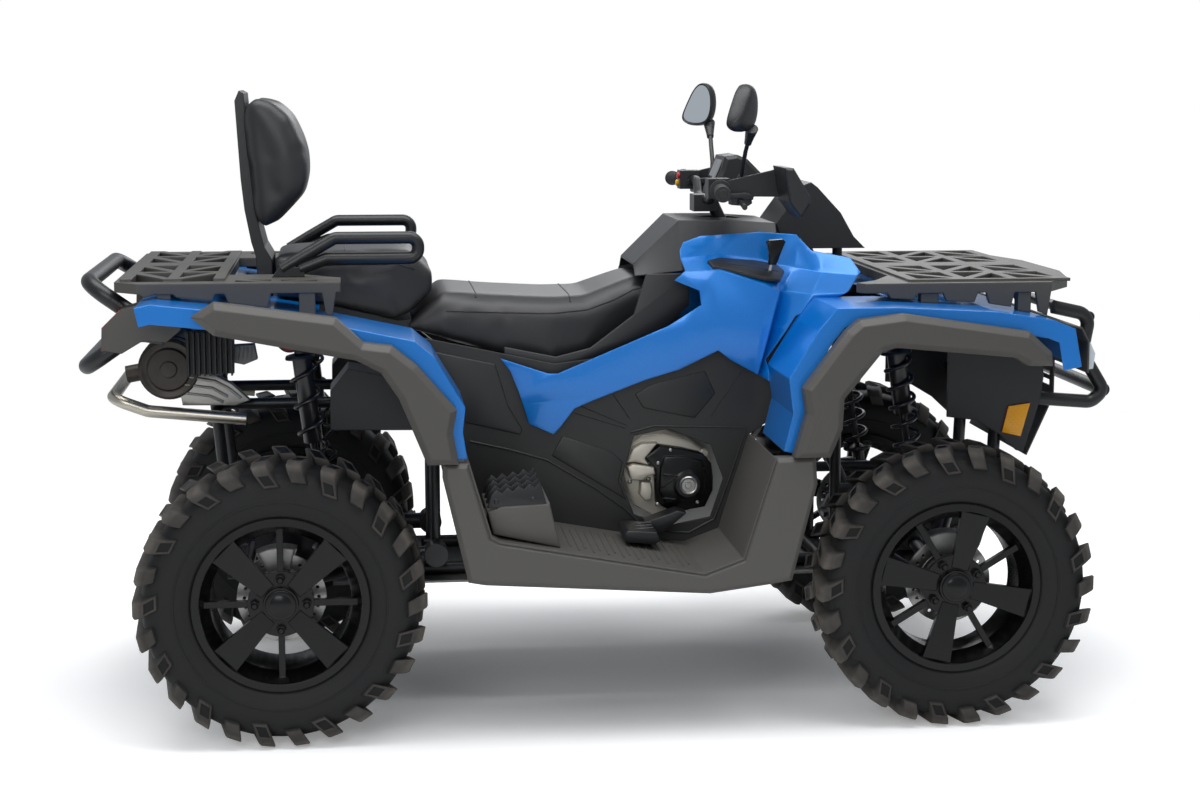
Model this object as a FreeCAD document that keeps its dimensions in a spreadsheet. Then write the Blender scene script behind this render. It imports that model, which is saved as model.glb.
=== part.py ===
import FreeCAD, Part
import math
import os

os.makedirs("parts", exist_ok=True)

V = FreeCAD.Vector
doc = FreeCAD.newDocument("quad_bike")

# Driving dimensions in millimetres and degrees
SIZES = [
    ("wheelbase", 1499),
    ("overhang", 446),
    ("overall_width", 1220),
    ("tyre_radius", 318),
    ("front_tyre_width", 203),
    ("rear_tyre_width", 254),
    ("lug_height", 18),
    ("lug_width", 28),
    ("flare_overhang", 24),
    ("bead_radius", 180),
    ("rim_flange", 12),
    ("rim_wall", 5),
    ("hub_radius", 46),
    ("spindle_radius", 19),
    ("disc_radius", 98),
    ("disc_thickness", 5),
    ("frame_tube", 15),
    ("cross_tube", 13),
    ("frame_half_width", 150),
    ("body_wall", 4),
    ("flare_depth", 46),
    ("flare_bevel", 14),
    ("bumper_tube", 16),
    ("tail_bumper_tube", 19),
    ("handle_tube", 14),
    ("bar_tube", 11),
    ("column_tube", 15),
    ("column_rake", 25.6),
    ("kingpin_inset", 74),
    ("steer_arm", 78),
    ("arm_tube", 11),
    ("shaft_radius", 14),
    ("pin_radius", 9),
    ("mount_length", 30),
    ("spring_radius", 34),
    ("damper_radius", 22),
    ("spring_wire", 5),
    ("hitch_tube_radius", 14),
    ("muffler_radius", 68),
    ("engine_half_width", 128),
    ("seat_half_width", 210),
    ("panel_half_width", 250),
    ("rack_thickness", 22),
    ("grip_radius", 17),
    ("seat_gap", 0.3),
    ("running_gap", 6),
]

sheet = doc.addObject("Spreadsheet::Sheet", "Sizes")
for row, (alias, value) in enumerate(SIZES, start=1):
    sheet.set("A%d" % row, alias)
    sheet.set("B%d" % row, str(value))
    sheet.setAlias("B%d" % row, alias)
doc.recompute()


def size(alias):
    return float(sheet.get(alias))


# The outlines are drawn for this axle place, tyre radius and half width
DRAWN_AXLE = 749.5
DRAWN_TYRE = 318
DRAWN_HALF_WIDTH = 610
DRAWN_CORE = 260
DRAWN_END = 1195.5

axle_x = size("wheelbase") / 2
half_width = size("overall_width") / 2
hub_z = size("tyre_radius")
growth = size("tyre_radius") - DRAWN_TYRE
gap = size("seat_gap")
wall = size("body_wall")


def between(value, table):
    """Straight-line value between the rows of a table, carried on past its ends."""
    for (x0, y0), (x1, y1) in zip(table, table[1:]):
        if value <= x1 or (x1, y1) == table[-1]:
            return y0 + (value - x0) * (y1 - y0) / (x1 - x0)


ALONG = [
    (0, 0),
    (DRAWN_AXLE - 379, axle_x - 379 - growth),
    (DRAWN_AXLE - 250, axle_x - 250 - growth),
    (DRAWN_AXLE, axle_x),
    (DRAWN_AXLE + 250, axle_x + 250 + growth),
    (DRAWN_END, axle_x + size("overhang")),
]
ACROSS = [(0, 0), (DRAWN_CORE, DRAWN_CORE), (DRAWN_HALF_WIDTH, half_width)]
UP = [(0, 0), (DRAWN_TYRE, hub_z), (2 * DRAWN_TYRE, 2 * hub_z), (1500, 1500 + 2 * growth)]


def along(x):
    """Length position that follows the axles and the tyres' arches."""
    return math.copysign(between(abs(x), ALONG), x)


def across(y):
    """Side position that follows the overall width outside the core."""
    return math.copysign(between(abs(y), ACROSS), y)


def up(z):
    """Height that follows the tyre radius."""
    return between(z, UP)


def at(x, y, z):
    return V(along(x), across(y), up(z))


# Shape helpers
def polygon(points):
    return Part.makePolygon(list(points) + [points[0]])


def prism(outline, y0, y1, place_at=at):
    """Side outline of (x, z) points pulled from y0 to y1."""
    face = Part.Face(polygon([place_at(x, y0, z) for x, z in outline]))
    return face.extrude(V(0, across(y1) - across(y0), 0))


def plan_prism(outline, z0, z1):
    """Plan outline of (x, y) points pulled from z0 to z1."""
    face = Part.Face(polygon([at(x, y, z0) for x, y in outline]))
    return face.extrude(V(0, 0, up(z1) - up(z0)))


def offset_line(line, distance, closed=False):
    """Line of (x, z) points moved sideways by a distance, with mitred corners."""
    moved = []
    count = len(line)
    for i, (x, z) in enumerate(line):
        before = line[i - 1] if i or closed else None
        after = line[(i + 1) % count] if i < count - 1 or closed else None
        normals = []
        for a, b in ((before, (x, z)), ((x, z), after)):
            if a is not None and b is not None:
                length = math.hypot(b[0] - a[0], b[1] - a[1])
                normals.append(((a[1] - b[1]) / length, (b[0] - a[0]) / length))
        nx = sum(n[0] for n in normals)
        nz = sum(n[1] for n in normals)
        scale = len(normals) * distance / (nx * nx + nz * nz)
        moved.append((x + nx * scale, z + nz * scale))
    return moved


def inset(outline, distance):
    """Closed outline shrunk by a distance on every side."""
    area = sum(a[0] * b[1] - b[0] * a[1] for a, b in zip(outline, outline[1:] + outline[:1]))
    return offset_line(outline, math.copysign(distance, area), closed=True)


def strip(line, thickness):
    """Closed outline of a sheet whose one face runs along a line."""
    return line + offset_line(line, thickness)[::-1]


def bent_sheet(line, thickness, y0, y1):
    return prism(strip(line, thickness), y0, y1)


def tray(outline, y_open, y_closed, thickness):
    """Hollow moulding: walls along the outline, closed at one side, open at the other."""
    step = math.copysign(thickness, y_open - y_closed)
    outer = prism(outline, y_open, y_closed)
    hollow = prism(inset(outline, thickness), y_open + step, y_closed + step)
    return outer.cut(hollow)


def stepped(rings, place_at):
    """Solid through side outlines, each (y, [(x, z), ...])."""
    wires = [polygon([place_at(x, y, z) for x, z in ring]) for y, ring in rings]
    return Part.makeLoft(wires, True, True)


def bevelled(outline, y0, y1, bevel, place_at=at):
    """Side outline pulled from y0 to y1, with a bevel round its far face."""
    turn = y1 + math.copysign(bevel, y0 - y1)
    return stepped(((y0, outline), (turn, outline), (y1, inset(outline, bevel))), place_at)


def pillow(outline, half, bevel, place_at=at):
    """Side outline pulled across the middle, with a bevel round both faces."""
    small = inset(outline, bevel)
    rings = ((-half, small), (bevel - half, outline), (half - bevel, outline), (half, small))
    return stepped(rings, place_at)


def moulding(outline, y_open, y_closed, thickness, bevel, place_at=at):
    """Hollow moulding like a tray, with its closed face bevelled all round."""
    step = math.copysign(thickness, y_open - y_closed)
    outer = bevelled(outline, y_open, y_closed, bevel, place_at)
    inner = bevelled(inset(outline, thickness), y_open + step, y_closed + step, bevel, place_at)
    return outer.cut(inner)


def skin(stations, thickness):
    """Ruled shell through cross-sections, each (x, [(y, z), ...]) an open line."""
    wires = []
    for x, line in stations:
        ring = strip(line, thickness)
        wires.append(polygon([at(x, y, z) for y, z in ring]))
    return Part.makeLoft(wires, True, True)


def loaf(stations):
    """Ruled solid through closed cross-sections, each (x, [(y, z), ...])."""
    wires = [polygon([at(x, y, z) for y, z in ring]) for x, ring in stations]
    return Part.makeLoft(wires, True, True)


def rounded(half, low, high, round_size):
    """Closed section of a cushion or cover: flat below, rounded shoulders above."""
    return [
        (-half, low),
        (-half, high - round_size),
        (-half + 0.35 * round_size, high - 0.35 * round_size),
        (-half + round_size, high),
        (half - round_size, high),
        (half - 0.35 * round_size, high - 0.35 * round_size),
        (half, high - round_size),
        (half, low),
    ]


def rod(start, end, radius):
    axis = end - start
    return Part.makeCylinder(radius, axis.Length, start, axis)


def tube(points, radius, bend):
    """Round bar of straight runs and the bends that join them."""
    pieces = []
    last = points[0]
    for before, corner, after in zip(points, points[1:], points[2:]):
        into = (corner - before).normalize()
        out = (after - corner).normalize()
        turn = into.getAngle(out)
        room = 0.45 * min((corner - before).Length, (after - corner).Length)
        cut = min(bend * math.tan(turn / 2), room)
        start = corner - into * cut
        centre = start + (out - into * out.dot(into)).normalize() * (cut / math.tan(turn / 2))
        disc = Part.Face(Part.Wire(Part.makeCircle(radius, start, into)))
        pieces.append(rod(last, start, radius))
        pieces.append(disc.revolve(centre, into.cross(out), math.degrees(turn)))
        last = corner + out * cut
    pieces.append(rod(last, points[-1], radius))
    return pieces[0].multiFuse(pieces[1:]).removeSplitter()


def mirrored(shape):
    return shape.mirror(V(0, 0, 0), V(0, 1, 0))


def mirrored_point(point):
    return V(point.x, -point.y, point.z)


def fused(shapes):
    return shapes[0].multiFuse(shapes[1:]).removeSplitter() if len(shapes) > 1 else shapes[0]


def separate(shapes):
    """One compound of all the solids, as they are."""
    return Part.makeCompound([solid for shape in shapes for solid in shape.Solids])


def both(shape):
    """The right-hand piece and its mirror image as separate solids."""
    return Part.makeCompound([shape, mirrored(shape)])


# Document helpers
subparts = []


def add(label, shape):
    piece = doc.addObject("Part::Feature", label)
    piece.Label = label
    piece.Shape = shape
    subparts.append(piece)
    return piece


def plane(body, role):
    return [item for item in body.Origin.OriginFeatures if item.Role == role][0]


def new_body(label):
    body = doc.addObject("PartDesign::Body", label)
    body.Label = label
    subparts.append(body)
    return body


def sketch_on(body, name, role, points, offset=0):
    """Closed sketch of straight lines on an origin plane of its own body."""
    sketch = body.newObject("Sketcher::SketchObject", name)
    sketch.AttachmentSupport = [(plane(body, role), "")]
    sketch.MapMode = "FlatFace"
    sketch.AttachmentOffset = FreeCAD.Placement(V(0, 0, offset), FreeCAD.Rotation())
    ends = [V(a, b, 0) for a, b in points]
    for a, b in zip(ends, ends[1:] + ends[:1]):
        sketch.addGeometry(Part.LineSegment(a, b), False)
    return sketch


def turned_body(label, profile):
    """Body turned about its own Y axis from a profile of (y, radius) points."""
    body = new_body(label)
    profile_sketch = sketch_on(body, label + "_profile", "YZ_Plane", profile)
    turn = body.newObject("PartDesign::Revolution", label + "_turn")
    turn.Profile = profile_sketch
    turn.ReferenceAxis = (profile_sketch, ["H_Axis"])
    turn.Angle = 360
    body.Tip = turn
    return body


def place(piece, x, y, z):
    for axis, expression in (("x", x), ("y", y), ("z", z)):
        piece.setExpression("Placement.Base." + axis, expression)


# Wheels: tyre, rim and brake disc, each modelled about its own centre
LUG_PAIRS = 20


def wheel_point(angle, y, radius, aside=0):
    """Point on a wheel: angle from the lowest point, distance from the axle, and a step aside."""
    out = V(math.sin(angle), 0, -math.cos(angle))
    along_rim = V(math.cos(angle), 0, math.sin(angle))
    return out * radius + along_rim * aside + V(0, y, 0)


def flat_ring(profile, count):
    """Ring of flat faces turned from a closed (y, radius) profile."""
    step = 2 * math.pi / count
    faces = []
    for i in range(count):
        a0, a1 = (i - 0.5) * step, (i + 0.5) * step
        for (y0, r0), (y1, r1) in zip(profile, profile[1:] + profile[:1]):
            corners = [wheel_point(a0, y0, r0), wheel_point(a1, y0, r0),
                       wheel_point(a1, y1, r1), wheel_point(a0, y1, r1)]
            faces.append(Part.Face(polygon(corners)))
    ring = Part.Solid(Part.Shell(faces))
    if ring.Volume < 0:
        ring.reverse()
    return ring


def tyre_shape(width, rim_width):
    """Carcass with a row of slanted lugs over each shoulder, half a pitch apart."""
    tip = size("tyre_radius")
    crown = tip - size("lug_height")
    bead = (size("bead_radius") + gap) / math.cos(math.pi / LUG_PAIRS)
    height = crown - bead
    half = width / 2
    outer = [
        (-rim_width / 2 + gap, bead),
        (-rim_width / 2 + gap, bead + size("rim_flange")),
        (-half + 7, bead + 0.5 * height),
        (-half + 36, crown),
    ]
    profile = outer + [(-y, r) for y, r in outer[::-1]]
    carcass = flat_ring(profile, LUG_PAIRS)
    pitch = 2 * math.pi / LUG_PAIRS
    half_lug = size("lug_width") / 2
    shoulder = half - 24
    slant = 20 / (shoulder - 10)
    lugs = []
    for side, start in ((1, 0), (-1, 0.5)):
        for i in range(LUG_PAIRS):
            low = bead + (0.5 if i % 2 else 0.66) * height
            section = [(10, crown - 8), (10, tip - 3), (shoulder, tip), (half, low + 20),
                       (half - 20, low), (shoulder - 10, crown - 20)]
            corners = [wheel_point((i + start) * pitch, side * y, r, slant * (shoulder - y) - half_lug)
                       for y, r in section]
            across_lug = wheel_point((i + start) * pitch, 0, 0, 2 * half_lug)
            lugs.append(Part.Face(polygon(corners)).extrude(across_lug))
    return carcass.multiFuse(lugs).removeSplitter()


def rim_shape(width, outward, turn):
    """Rim barrel with flanges, dished spokes and hub seat; outward is the sign of y."""
    seat = size("bead_radius")
    flange = seat + size("rim_flange")
    thick = size("rim_wall")
    half = width / 2
    outer = [
        (-half - 6, flange),
        (-half, flange),
        (-half, seat),
        (-half + 22, seat),
        (-half + 34, seat - 22),
        (half - 34, seat - 22),
        (half - 22, seat),
        (half, seat),
        (half, flange),
        (half + 6, flange),
    ]
    inner = [(y, r - thick) for y, r in outer[::-1]]
    inner[0] = (half + 6, seat - thick)
    inner[1] = (half, seat - thick)
    inner[-1] = (-half - 6, seat - thick)
    inner[-2] = (-half, seat - thick)
    ring = outer + [inner[0], inner[2], inner[4], inner[5], inner[7], inner[-1]]
    face = Part.Face(polygon([V(0, y, r) for y, r in ring]))
    barrel = face.revolve(V(0, 0, 0), V(0, 1, 0), 360)
    face_y = outward * (half - 12)
    inward = V(0, -outward, 0)
    hub_plate = size("hub_radius") + 26
    hub = Part.makeCylinder(hub_plate, 26, V(0, face_y, 0), inward)
    cap = Part.makeCylinder(size("hub_radius") - 8, 24, V(0, face_y - outward * 12, 0), -inward)
    reach = seat - thick - 4
    rise = outward * 9
    pieces = [barrel, hub, cap]
    for quarter in range(4):
        blade = Part.Face(polygon([V(40, face_y - outward * 13, -19), V(reach, face_y - outward * 13 + rise, -33),
                                   V(reach, face_y - outward * 13 + rise, 33),
                                   V(40, face_y - outward * 13, 19)])).extrude(V(0, outward * 14, 0))
        blade.rotate(V(0, 0, 0), V(0, 1, 0), 45 + 90 * quarter - turn)
        rib = Part.makeBox(14, 16, reach - 40, V(-7, -8, 40))
        rib.translate(V(0, face_y - outward * 12, 0))
        rib.rotate(V(0, 0, 0), V(0, 1, 0), 90 * quarter - turn)
        pieces += [blade, rib]
    wheel = fused(pieces)
    bore = Part.makeCylinder(size("spindle_radius") + gap + 8, 60, V(0, face_y - outward * 12, 0), inward)
    return wheel.cut(bore)


RIM_WIDTH = {"front": 152, "rear": 203}
SPOKE_TURN = {"front": 31, "rear": 0}
spindle = size("spindle_radius")
centre_y = {
    "front": half_width - size("flare_overhang") - size("front_tyre_width") / 2,
    "rear": half_width - size("flare_overhang") - size("rear_tyre_width") / 2,
}


def hub_face(end):
    """Distance from the wheel's centre plane to the rim's hub seat, outward."""
    return RIM_WIDTH[end] / 2 - 12 - 26


def disc_profile(end):
    """Hub and brake disc, (y, radius) points, for the left wheel."""
    hub_end = hub_face(end) - gap
    radius = size("hub_radius")
    disc = size("disc_thickness")
    start = hub_end - 56
    bore = spindle + gap
    return [
        (start, bore),
        (hub_end, bore),
        (hub_end, radius),
        (start + 14 + disc, radius),
        (start + 14 + disc, size("disc_radius")),
        (start + 14, size("disc_radius")),
        (start + 14, radius - 8),
        (start, radius - 8),
    ]


for end, direction in (("front", 1), ("rear", -1)):
    for side, sign in (("right", -1), ("left", 1)):
        x_place = "%d * Sizes.wheelbase / 2" % direction
        y_place = "%d * (Sizes.overall_width / 2 - Sizes.flare_overhang - Sizes.%s_tyre_width / 2)" % (
            sign, end)
        z_place = "Sizes.tyre_radius"
        name = "%s_%s" % (end, side)
        tyre = add("tyre_" + name, tyre_shape(size(end + "_tyre_width"), RIM_WIDTH[end]))
        place(tyre, x_place, y_place, z_place)
        rim = add("rim_" + name, rim_shape(RIM_WIDTH[end], sign, SPOKE_TURN[end]))
        place(rim, x_place, y_place, z_place)
        profile = [(sign * y, r) for y, r in disc_profile(end)]
        disc = turned_body("disc_" + name, profile)
        place(disc, x_place, y_place, z_place)


# Frame of welded tubes: each bar is coped to fit those that it is welded to
rail_y = size("frame_half_width")
tube_r = size("frame_tube")
cross_r = size("cross_tube")
rail_z = 300
POST = 12
copes = []


def coped(piece):
    """Piece with a notch where it meets each bar that is there already."""
    for cope in copes:
        if piece.BoundBox.intersect(cope.BoundBox):
            piece = piece.cut(cope)
    return piece


def bar(route, radius, bend=50):
    """A bar on the right side and its mirror image, bent where it has corners."""
    bars = []
    for thick in (radius, radius + gap):
        bars.append(tube(route, thick, bend) if len(route) > 2 else rod(route[0], route[1], thick))
    piece = coped(bars[0])
    copes.extend([bars[1], mirrored(bars[1])])
    return [piece, mirrored(piece)]


def side_bar(points, radius, bend=50):
    return bar([at(x, -y, z) for x, y, z in points], radius, bend)


def cross_bar(start, radius):
    """Straight bar across the frame, from a point to its mirror image."""
    piece = coped(rod(start, mirrored_point(start), radius))
    copes.append(rod(start, mirrored_point(start), radius + gap))
    return piece


UPPER_RAIL = [(975, 859), (560, 880), (330, 760), (-330, 740), (-480, 860), (-1036, 902)]
LOWER_RAIL = [(-885, rail_z), (900, rail_z), (945, 470), (960, 860)]
rails = side_bar([(x, rail_y, z) for x, z in UPPER_RAIL], tube_r)
rails += side_bar([(x, rail_y, z) for x, z in LOWER_RAIL], tube_r)
add("frame", separate(rails))

# Steering head: a sleeve that the column turns in
rake = math.radians(size("column_rake"))
column_foot = at(640, 0, 400)
column_up = V(-math.sin(rake), 0, math.cos(rake))
column_length = (up(1190) - column_foot.z) / math.cos(rake)
column_head = column_foot + column_up * column_length
DRAWN_HEAD_X = 261.5
DRAWN_HEAD_Z = 1190


def on_bar(x, y, z):
    """Place drawn beside the handlebar, kept at its distance from the column's head."""
    return V(column_head.x + x - DRAWN_HEAD_X, across(y), column_head.z + z - DRAWN_HEAD_Z)


column_clear = rod(column_foot - column_up * 40, column_head, size("column_tube") + gap)
head_middle = column_foot + column_up * (0.528 * column_length)
sleeve_r = size("column_tube") + 10
head_sleeve = rod(head_middle - column_up * 30, head_middle + column_up * 30, sleeve_r).cut(column_clear)
copes.append(rod(head_middle - column_up * 31, head_middle + column_up * 31, sleeve_r + gap))

# Struts and cross tubes between the rails
BUMPER_Y = 260
TAIL_BUMPER_Y = 330
struts = [head_sleeve, cross_bar(head_middle - V(0, rail_y, 0), cross_r)]
for x0, z0, x1, z1 in ((560, rail_z, 560, 880), (-400, rail_z, -400, 797), (-865, rail_z, -921, 893),
                       (560, 470, 945, 470), (-400, 700, -903, 700)):
    struts += side_bar([(x0, rail_y, z0), (x1, rail_y, z1)], cross_r)
for x, z in ((900, rail_z), (530, rail_z), (100, rail_z), (-430, rail_z), (-840, rail_z), (960, 850),
             (590, 878), (-480, 858), (395, 794)):
    struts.append(cross_bar(at(x, -rail_y, z), cross_r))

# Cross tubes that carry the bumpers and the towing frame
struts.append(cross_bar(at(953, -BUMPER_Y - 16, 705), cross_r))
tail_face = across(TAIL_BUMPER_Y) - size("tail_bumper_tube") - gap
struts.append(cross_bar(V(along(-1022), -tail_face, up(901)), cross_r))
hitch_side = 230 - size("hitch_tube_radius") - gap
struts.append(cross_bar(at(-901, -hitch_side, 683), POST))

# Shock mounts: a cross tube over each axle, with a stub along each damper's axis
inner_face = {end: centre_y[end] - size(end + "_tyre_width") / 2 for end in centre_y}
SHOCK_ROOM = {"front": 83, "rear": 47}
SHOCK_LEAN = {"front": 20, "rear": 14}


def shock_ends(end, x_top, z_top, x_foot, z_foot):
    """Upper and lower pivot of the right-hand shock, a clearance inside its tyre."""
    y = SHOCK_ROOM[end] - inner_face[end]
    return V(x_top, y, up(z_top)), V(x_foot, y + SHOCK_LEAN[end], up(z_foot))


FRONT_SHOCK = shock_ends("front", along(660), 862, axle_x - 25, 434)
REAR_SHOCK = shock_ends("rear", along(-706), 868, along(-642), 326)
for top, foot in (FRONT_SHOCK, REAR_SHOCK):
    struts.append(cross_bar(top - V(0, 18, 0), cross_r))
    axis = (foot - top).normalize()
    struts += bar([top, top + axis * size("mount_length")], size("damper_radius") * 0.7)
add("frame_struts", separate(struts))

# Posts and outriggers under the bodywork, seats and console
FRONT_BODY_LINE = [(352, 635.5), (372, 718), (362, 796), (425, 900), (466, 950), (516, 950), (607, 950),
                   (826, 938), (955, 918), (1005, 898), (1022, 813)]
REAR_BODY_LINE = [(-343, 632), (-352, 691), (-346, 744), (-412, 855), (-453, 890), (-621, 926),
                  (-889, 962), (-1011, 975), (-1043, 968)]
FLOOR = [(-339, 625), (-291, 462), (-273, 452), (175, 372), (259, 403), (329, 625)]


def line_z(line, x):
    """Height of a body line at x."""
    for (x0, z0), (x1, z1) in zip(line, line[1:]):
        if min(x0, x1) <= x <= max(x0, x1) and x0 != x1:
            return z0 + (x - x0) * (z1 - z0) / (x1 - x0)


def post_to(line, x, y, z_foot, drop):
    """Upright that ends just under a sheet whose upper face is the given line."""
    high = min(line_z(line, x - POST), line_z(line, x + POST)) - drop
    return side_bar([(x, y, z_foot), (x, y, high)], POST)


under = wall * 1.02 + gap
posts = post_to(FRONT_BODY_LINE, 930, rail_y, 860, under)
posts += post_to(REAR_BODY_LINE, -980, rail_y, 900, under)
for x in (-200, 120):
    z = line_z(FLOOR, x) - under - POST - 2
    posts += side_bar([(x, rail_y, rail_z), (x, rail_y, z), (x, 540, z)], POST, 40)
for x, y, z_foot, z_top in ((-125, rail_y, 746, 781 - gap), (-249, rail_y, 742, 807 - gap),
                            (395, 100, 794, 1104 - gap)):
    posts += side_bar([(x, y, z_foot), (x, y, z_top)], POST)
posts.append(coped(rod(at(590, 0, 878), at(590, 0, 1045 - gap), POST)))

# Brackets beside the rails for the silencer and the regulator
muffler_r = size("muffler_radius")
muffler_x = along(-1003)
posts += bar([at(-911, -rail_y, 790), V(muffler_x + muffler_r + gap, -rail_y, up(790))], 10)
regulator_plate = prism([(-958, 786), (-958, 886), (-850, 886), (-852, 788)], -262 + gap, -259)
regulator_arm = prism([(-925, 878), (-925, 884), (-885, 884), (-885, 878)], -261, -rail_y)
posts.append(coped(regulator_plate.fuse(regulator_arm)))
add("frame_posts", separate(posts))

# Engine as one block standing on the lower cross tubes
engine_low = up(rail_z) + cross_r + gap
engine_half = size("engine_half_width")
engine_start = along(-360) + 30
engine_box = Part.makeBox(along(330) - engine_start, 2 * engine_half, up(690) - engine_low,
                          V(engine_start, -engine_half, engine_low))
engine_head = Part.makeBox(along(300) - along(60), 1.4 * engine_half, up(735) - up(690),
                           V(along(60), -0.7 * engine_half, up(690)))
add("engine", engine_box.fuse(engine_head))

# Crankcase covers, seated on both sides of the engine
cover_centre = at(150, 0, 518)
cover_steps = ((96, 62), (84, 96), (40, 118), (22, 126))
cover_shapes = []
for sign in (-1, 1):
    start = V(cover_centre.x, sign * (engine_half + gap), cover_centre.z)
    steps = [Part.makeCylinder(r, depth, start, V(0, sign, 0)) for r, depth in cover_steps]
    cover_shapes.append(fused(steps))
add("engine_covers", Part.makeCompound(cover_shapes))

# Skid plate under the lower rails
plate_top = up(rail_z) - tube_r - gap
skid = Part.makeBox(along(588) - along(-640), 2 * (rail_y + 70), 5,
                    V(along(-640), -rail_y - 70, plate_top - 5))
add("skid_plate", skid)

# Coloured body side panels: a curved skin cut to the side outline
SIDE_OUTLINE = [
    (171, 1050), (181, 1069), (222, 1083), (362, 1091), (448, 1085), (482, 1048), (570, 1032),
    (590, 1000), (546, 963), (425, 907), (362, 803), (370, 754), (279, 804), (249, 827), (160, 783),
    (78, 758), (-40, 712), (-81, 694), (-114, 650), (-129, 634), (-185, 659), (-206, 726),
    (-228, 782), (-250, 812), (-141, 776), (-119, 776), (134, 884), (209, 932), (205, 965),
    (149, 988), (174, 1010),
]
# Lines of the panel from its tail to the front fender, each (x, y, z) from low to high:
# foot, waist, belly, shoulder, recess foot and upper edge
SIDE_LINES = [
    [(-270, -262, 560), (-270, -268, 700), (-270, -270, 800), (-270, -266, 860), (-270, -250, 880),
     (-270, -240, 900)],
    [(100, -264, 560), (100, -284, 740), (100, -290, 860), (100, -276, 975), (100, -240, 1000),
     (100, -196, 1090)],
    [(170, -266, 560), (170, -288, 760), (170, -297, 880), (170, -284, 1008), (176, -216, 1034),
     (176, -190, 1100)],
    [(250, -268, 560), (250, -292, 770), (250, -304, 890), (250, -294, 1012), (256, -212, 1042),
     (256, -190, 1110)],
    [(316, -270, 560), (326, -296, 774), (346, -310, 880), (358, -302, 978), (362, -212, 1030),
     (362, -190, 1110)],
    [(330, -272, 560), (343, -298, 774), (368, -312, 880), (389, -302, 960), (404, -214, 1016),
     (410, -192, 1105)],
    [(334, -262, 560), (349, -272, 774), (376, -276, 880), (399, -270, 962), (440, -216, 1010),
     (450, -194, 1100)],
    [(348, -312, 560), (363, -316, 774), (415, -322, 880), (462, -322, 958), (500, -240, 1000),
     (505, -196, 1080)],
    [(620, -330, 560), (620, -340, 774), (620, -350, 880), (620, -340, 962), (620, -270, 990),
     (620, -200, 1060)],
]
SIDE_WALL = 5


def side_ring(line):
    """Closed section of the panel: its outer line, and the same line a wall further in."""
    return [at(*p) for p in line] + [at(x, y, z) + V(0, SIDE_WALL, 0) for x, y, z in line[::-1]]


side_skin = fused([Part.makeLoft([polygon(side_ring(a)), polygon(side_ring(b))], True, True)
                   for a, b in zip(SIDE_LINES, SIDE_LINES[1:])])
side_panel = side_skin.common(prism(SIDE_OUTLINE, -560, -120))

# Front body: one coloured moulding bent over the front wheels
edge_y = DRAWN_HALF_WIDTH - size("flare_depth") - gap
CHEEK = 42


def body_shell(line, thickness, middle_cut):
    """Sheet bent along a line, with a cheek down each edge and the middle cut out."""
    sheet_part = bent_sheet(line, thickness, -edge_y, edge_y)
    cheek = prism(strip(line, math.copysign(CHEEK, thickness)), -edge_y, -edge_y + wall)
    return fused([sheet_part, cheek, mirrored(cheek)]).cut(prism(middle_cut, -310, 310))


front_body = body_shell(FRONT_BODY_LINE, -wall, [(300, 500), (300, 1100), (640, 1100), (640, 500)])
add("front_body", front_body)
add("side_panels", both(side_panel.cut(front_body)))

rear_body = body_shell(REAR_BODY_LINE, wall, [(-300, 500), (-300, 1100), (-660, 1100), (-660, 500)])
add("rear_body", rear_body)

# Moulded flares over the wheels
FRONT_FLARE = [(369, 625.3), (396, 722), (388, 778), (482, 903), (510, 927), (609, 939), (891, 897),
               (942, 851), (945, 820), (889, 821), (859, 840), (591, 865), (562, 856), (479, 754),
               (476, 687), (450, 625.3)]
REAR_FLARE = [(-362, 625.3), (-375, 695), (-366, 744), (-450, 842), (-503, 884), (-562, 892),
              (-620, 945), (-875, 981), (-923, 950), (-876, 911), (-579, 854), (-526, 826),
              (-489, 770), (-430, 625.3)]
flare_inner = DRAWN_HALF_WIDTH - size("flare_depth")
bevel = size("flare_bevel")
add("front_flares", both(moulding(FRONT_FLARE, -flare_inner, -DRAWN_HALF_WIDTH, wall, bevel)))
add("rear_flares", both(moulding(REAR_FLARE, -flare_inner, -DRAWN_HALF_WIDTH, wall, bevel)))

# Footwells: sill, floor and end walls in one moulding
SILL = [(-397, 591), (-397, 625), (-339, 625), (-291, 462), (-273, 452), (175, 372), (259, 403),
        (329, 625), (420, 625), (425, 565), (371, 349), (320, 341), (188, 324), (-306, 355),
        (-344, 362)]
sill = moulding(SILL, -555, -590, wall, 10)
floor = bent_sheet(FLOOR, -wall, -588, -size("panel_half_width") - wall - gap)
add("footwells", both(sill.fuse(floor)))

# Lower side panels with the opening for the crankcase cover
LOWER_OUTLINE = [(-433, 862), (-255, 824), (-125, 796), (-43, 806), (257, 850), (440, 830),
                 (430, 690), (333, 625), (262, 400), (175, 368), (-273, 448), (-294, 458),
                 (-342, 625)]
COVER_OPENING = [(60, 440), (30, 520), (60, 625), (140, 640), (240, 600), (270, 520), (240, 430),
                 (140, 410)]
panel_y = size("panel_half_width")
lower_panel = prism(LOWER_OUTLINE, -panel_y - wall, -panel_y)
lower_panel = lower_panel.cut(prism(COVER_OPENING, -panel_y - 20, -panel_y + 20))
add("lower_panels", both(lower_panel))

# Console round the steering column, open for the column
CONSOLE_SECTIONS = [
    (74, [(-150, 985), (-120, 1010), (120, 1010), (150, 985)]),
    (180, [(-185, 1000), (-130, 1112), (130, 1112), (185, 1000)]),
    (300, [(-185, 1020), (-135, 1112), (135, 1112), (185, 1020)]),
    (410, [(-185, 1030), (-135, 1104), (135, 1104), (185, 1030)]),
]
console = skin(CONSOLE_SECTIONS, wall)
column_hole = rod(column_foot, column_foot + column_up * (column_length * 1.2),
                  size("column_tube") + 30)
add("console", console.cut(column_hole))

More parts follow.
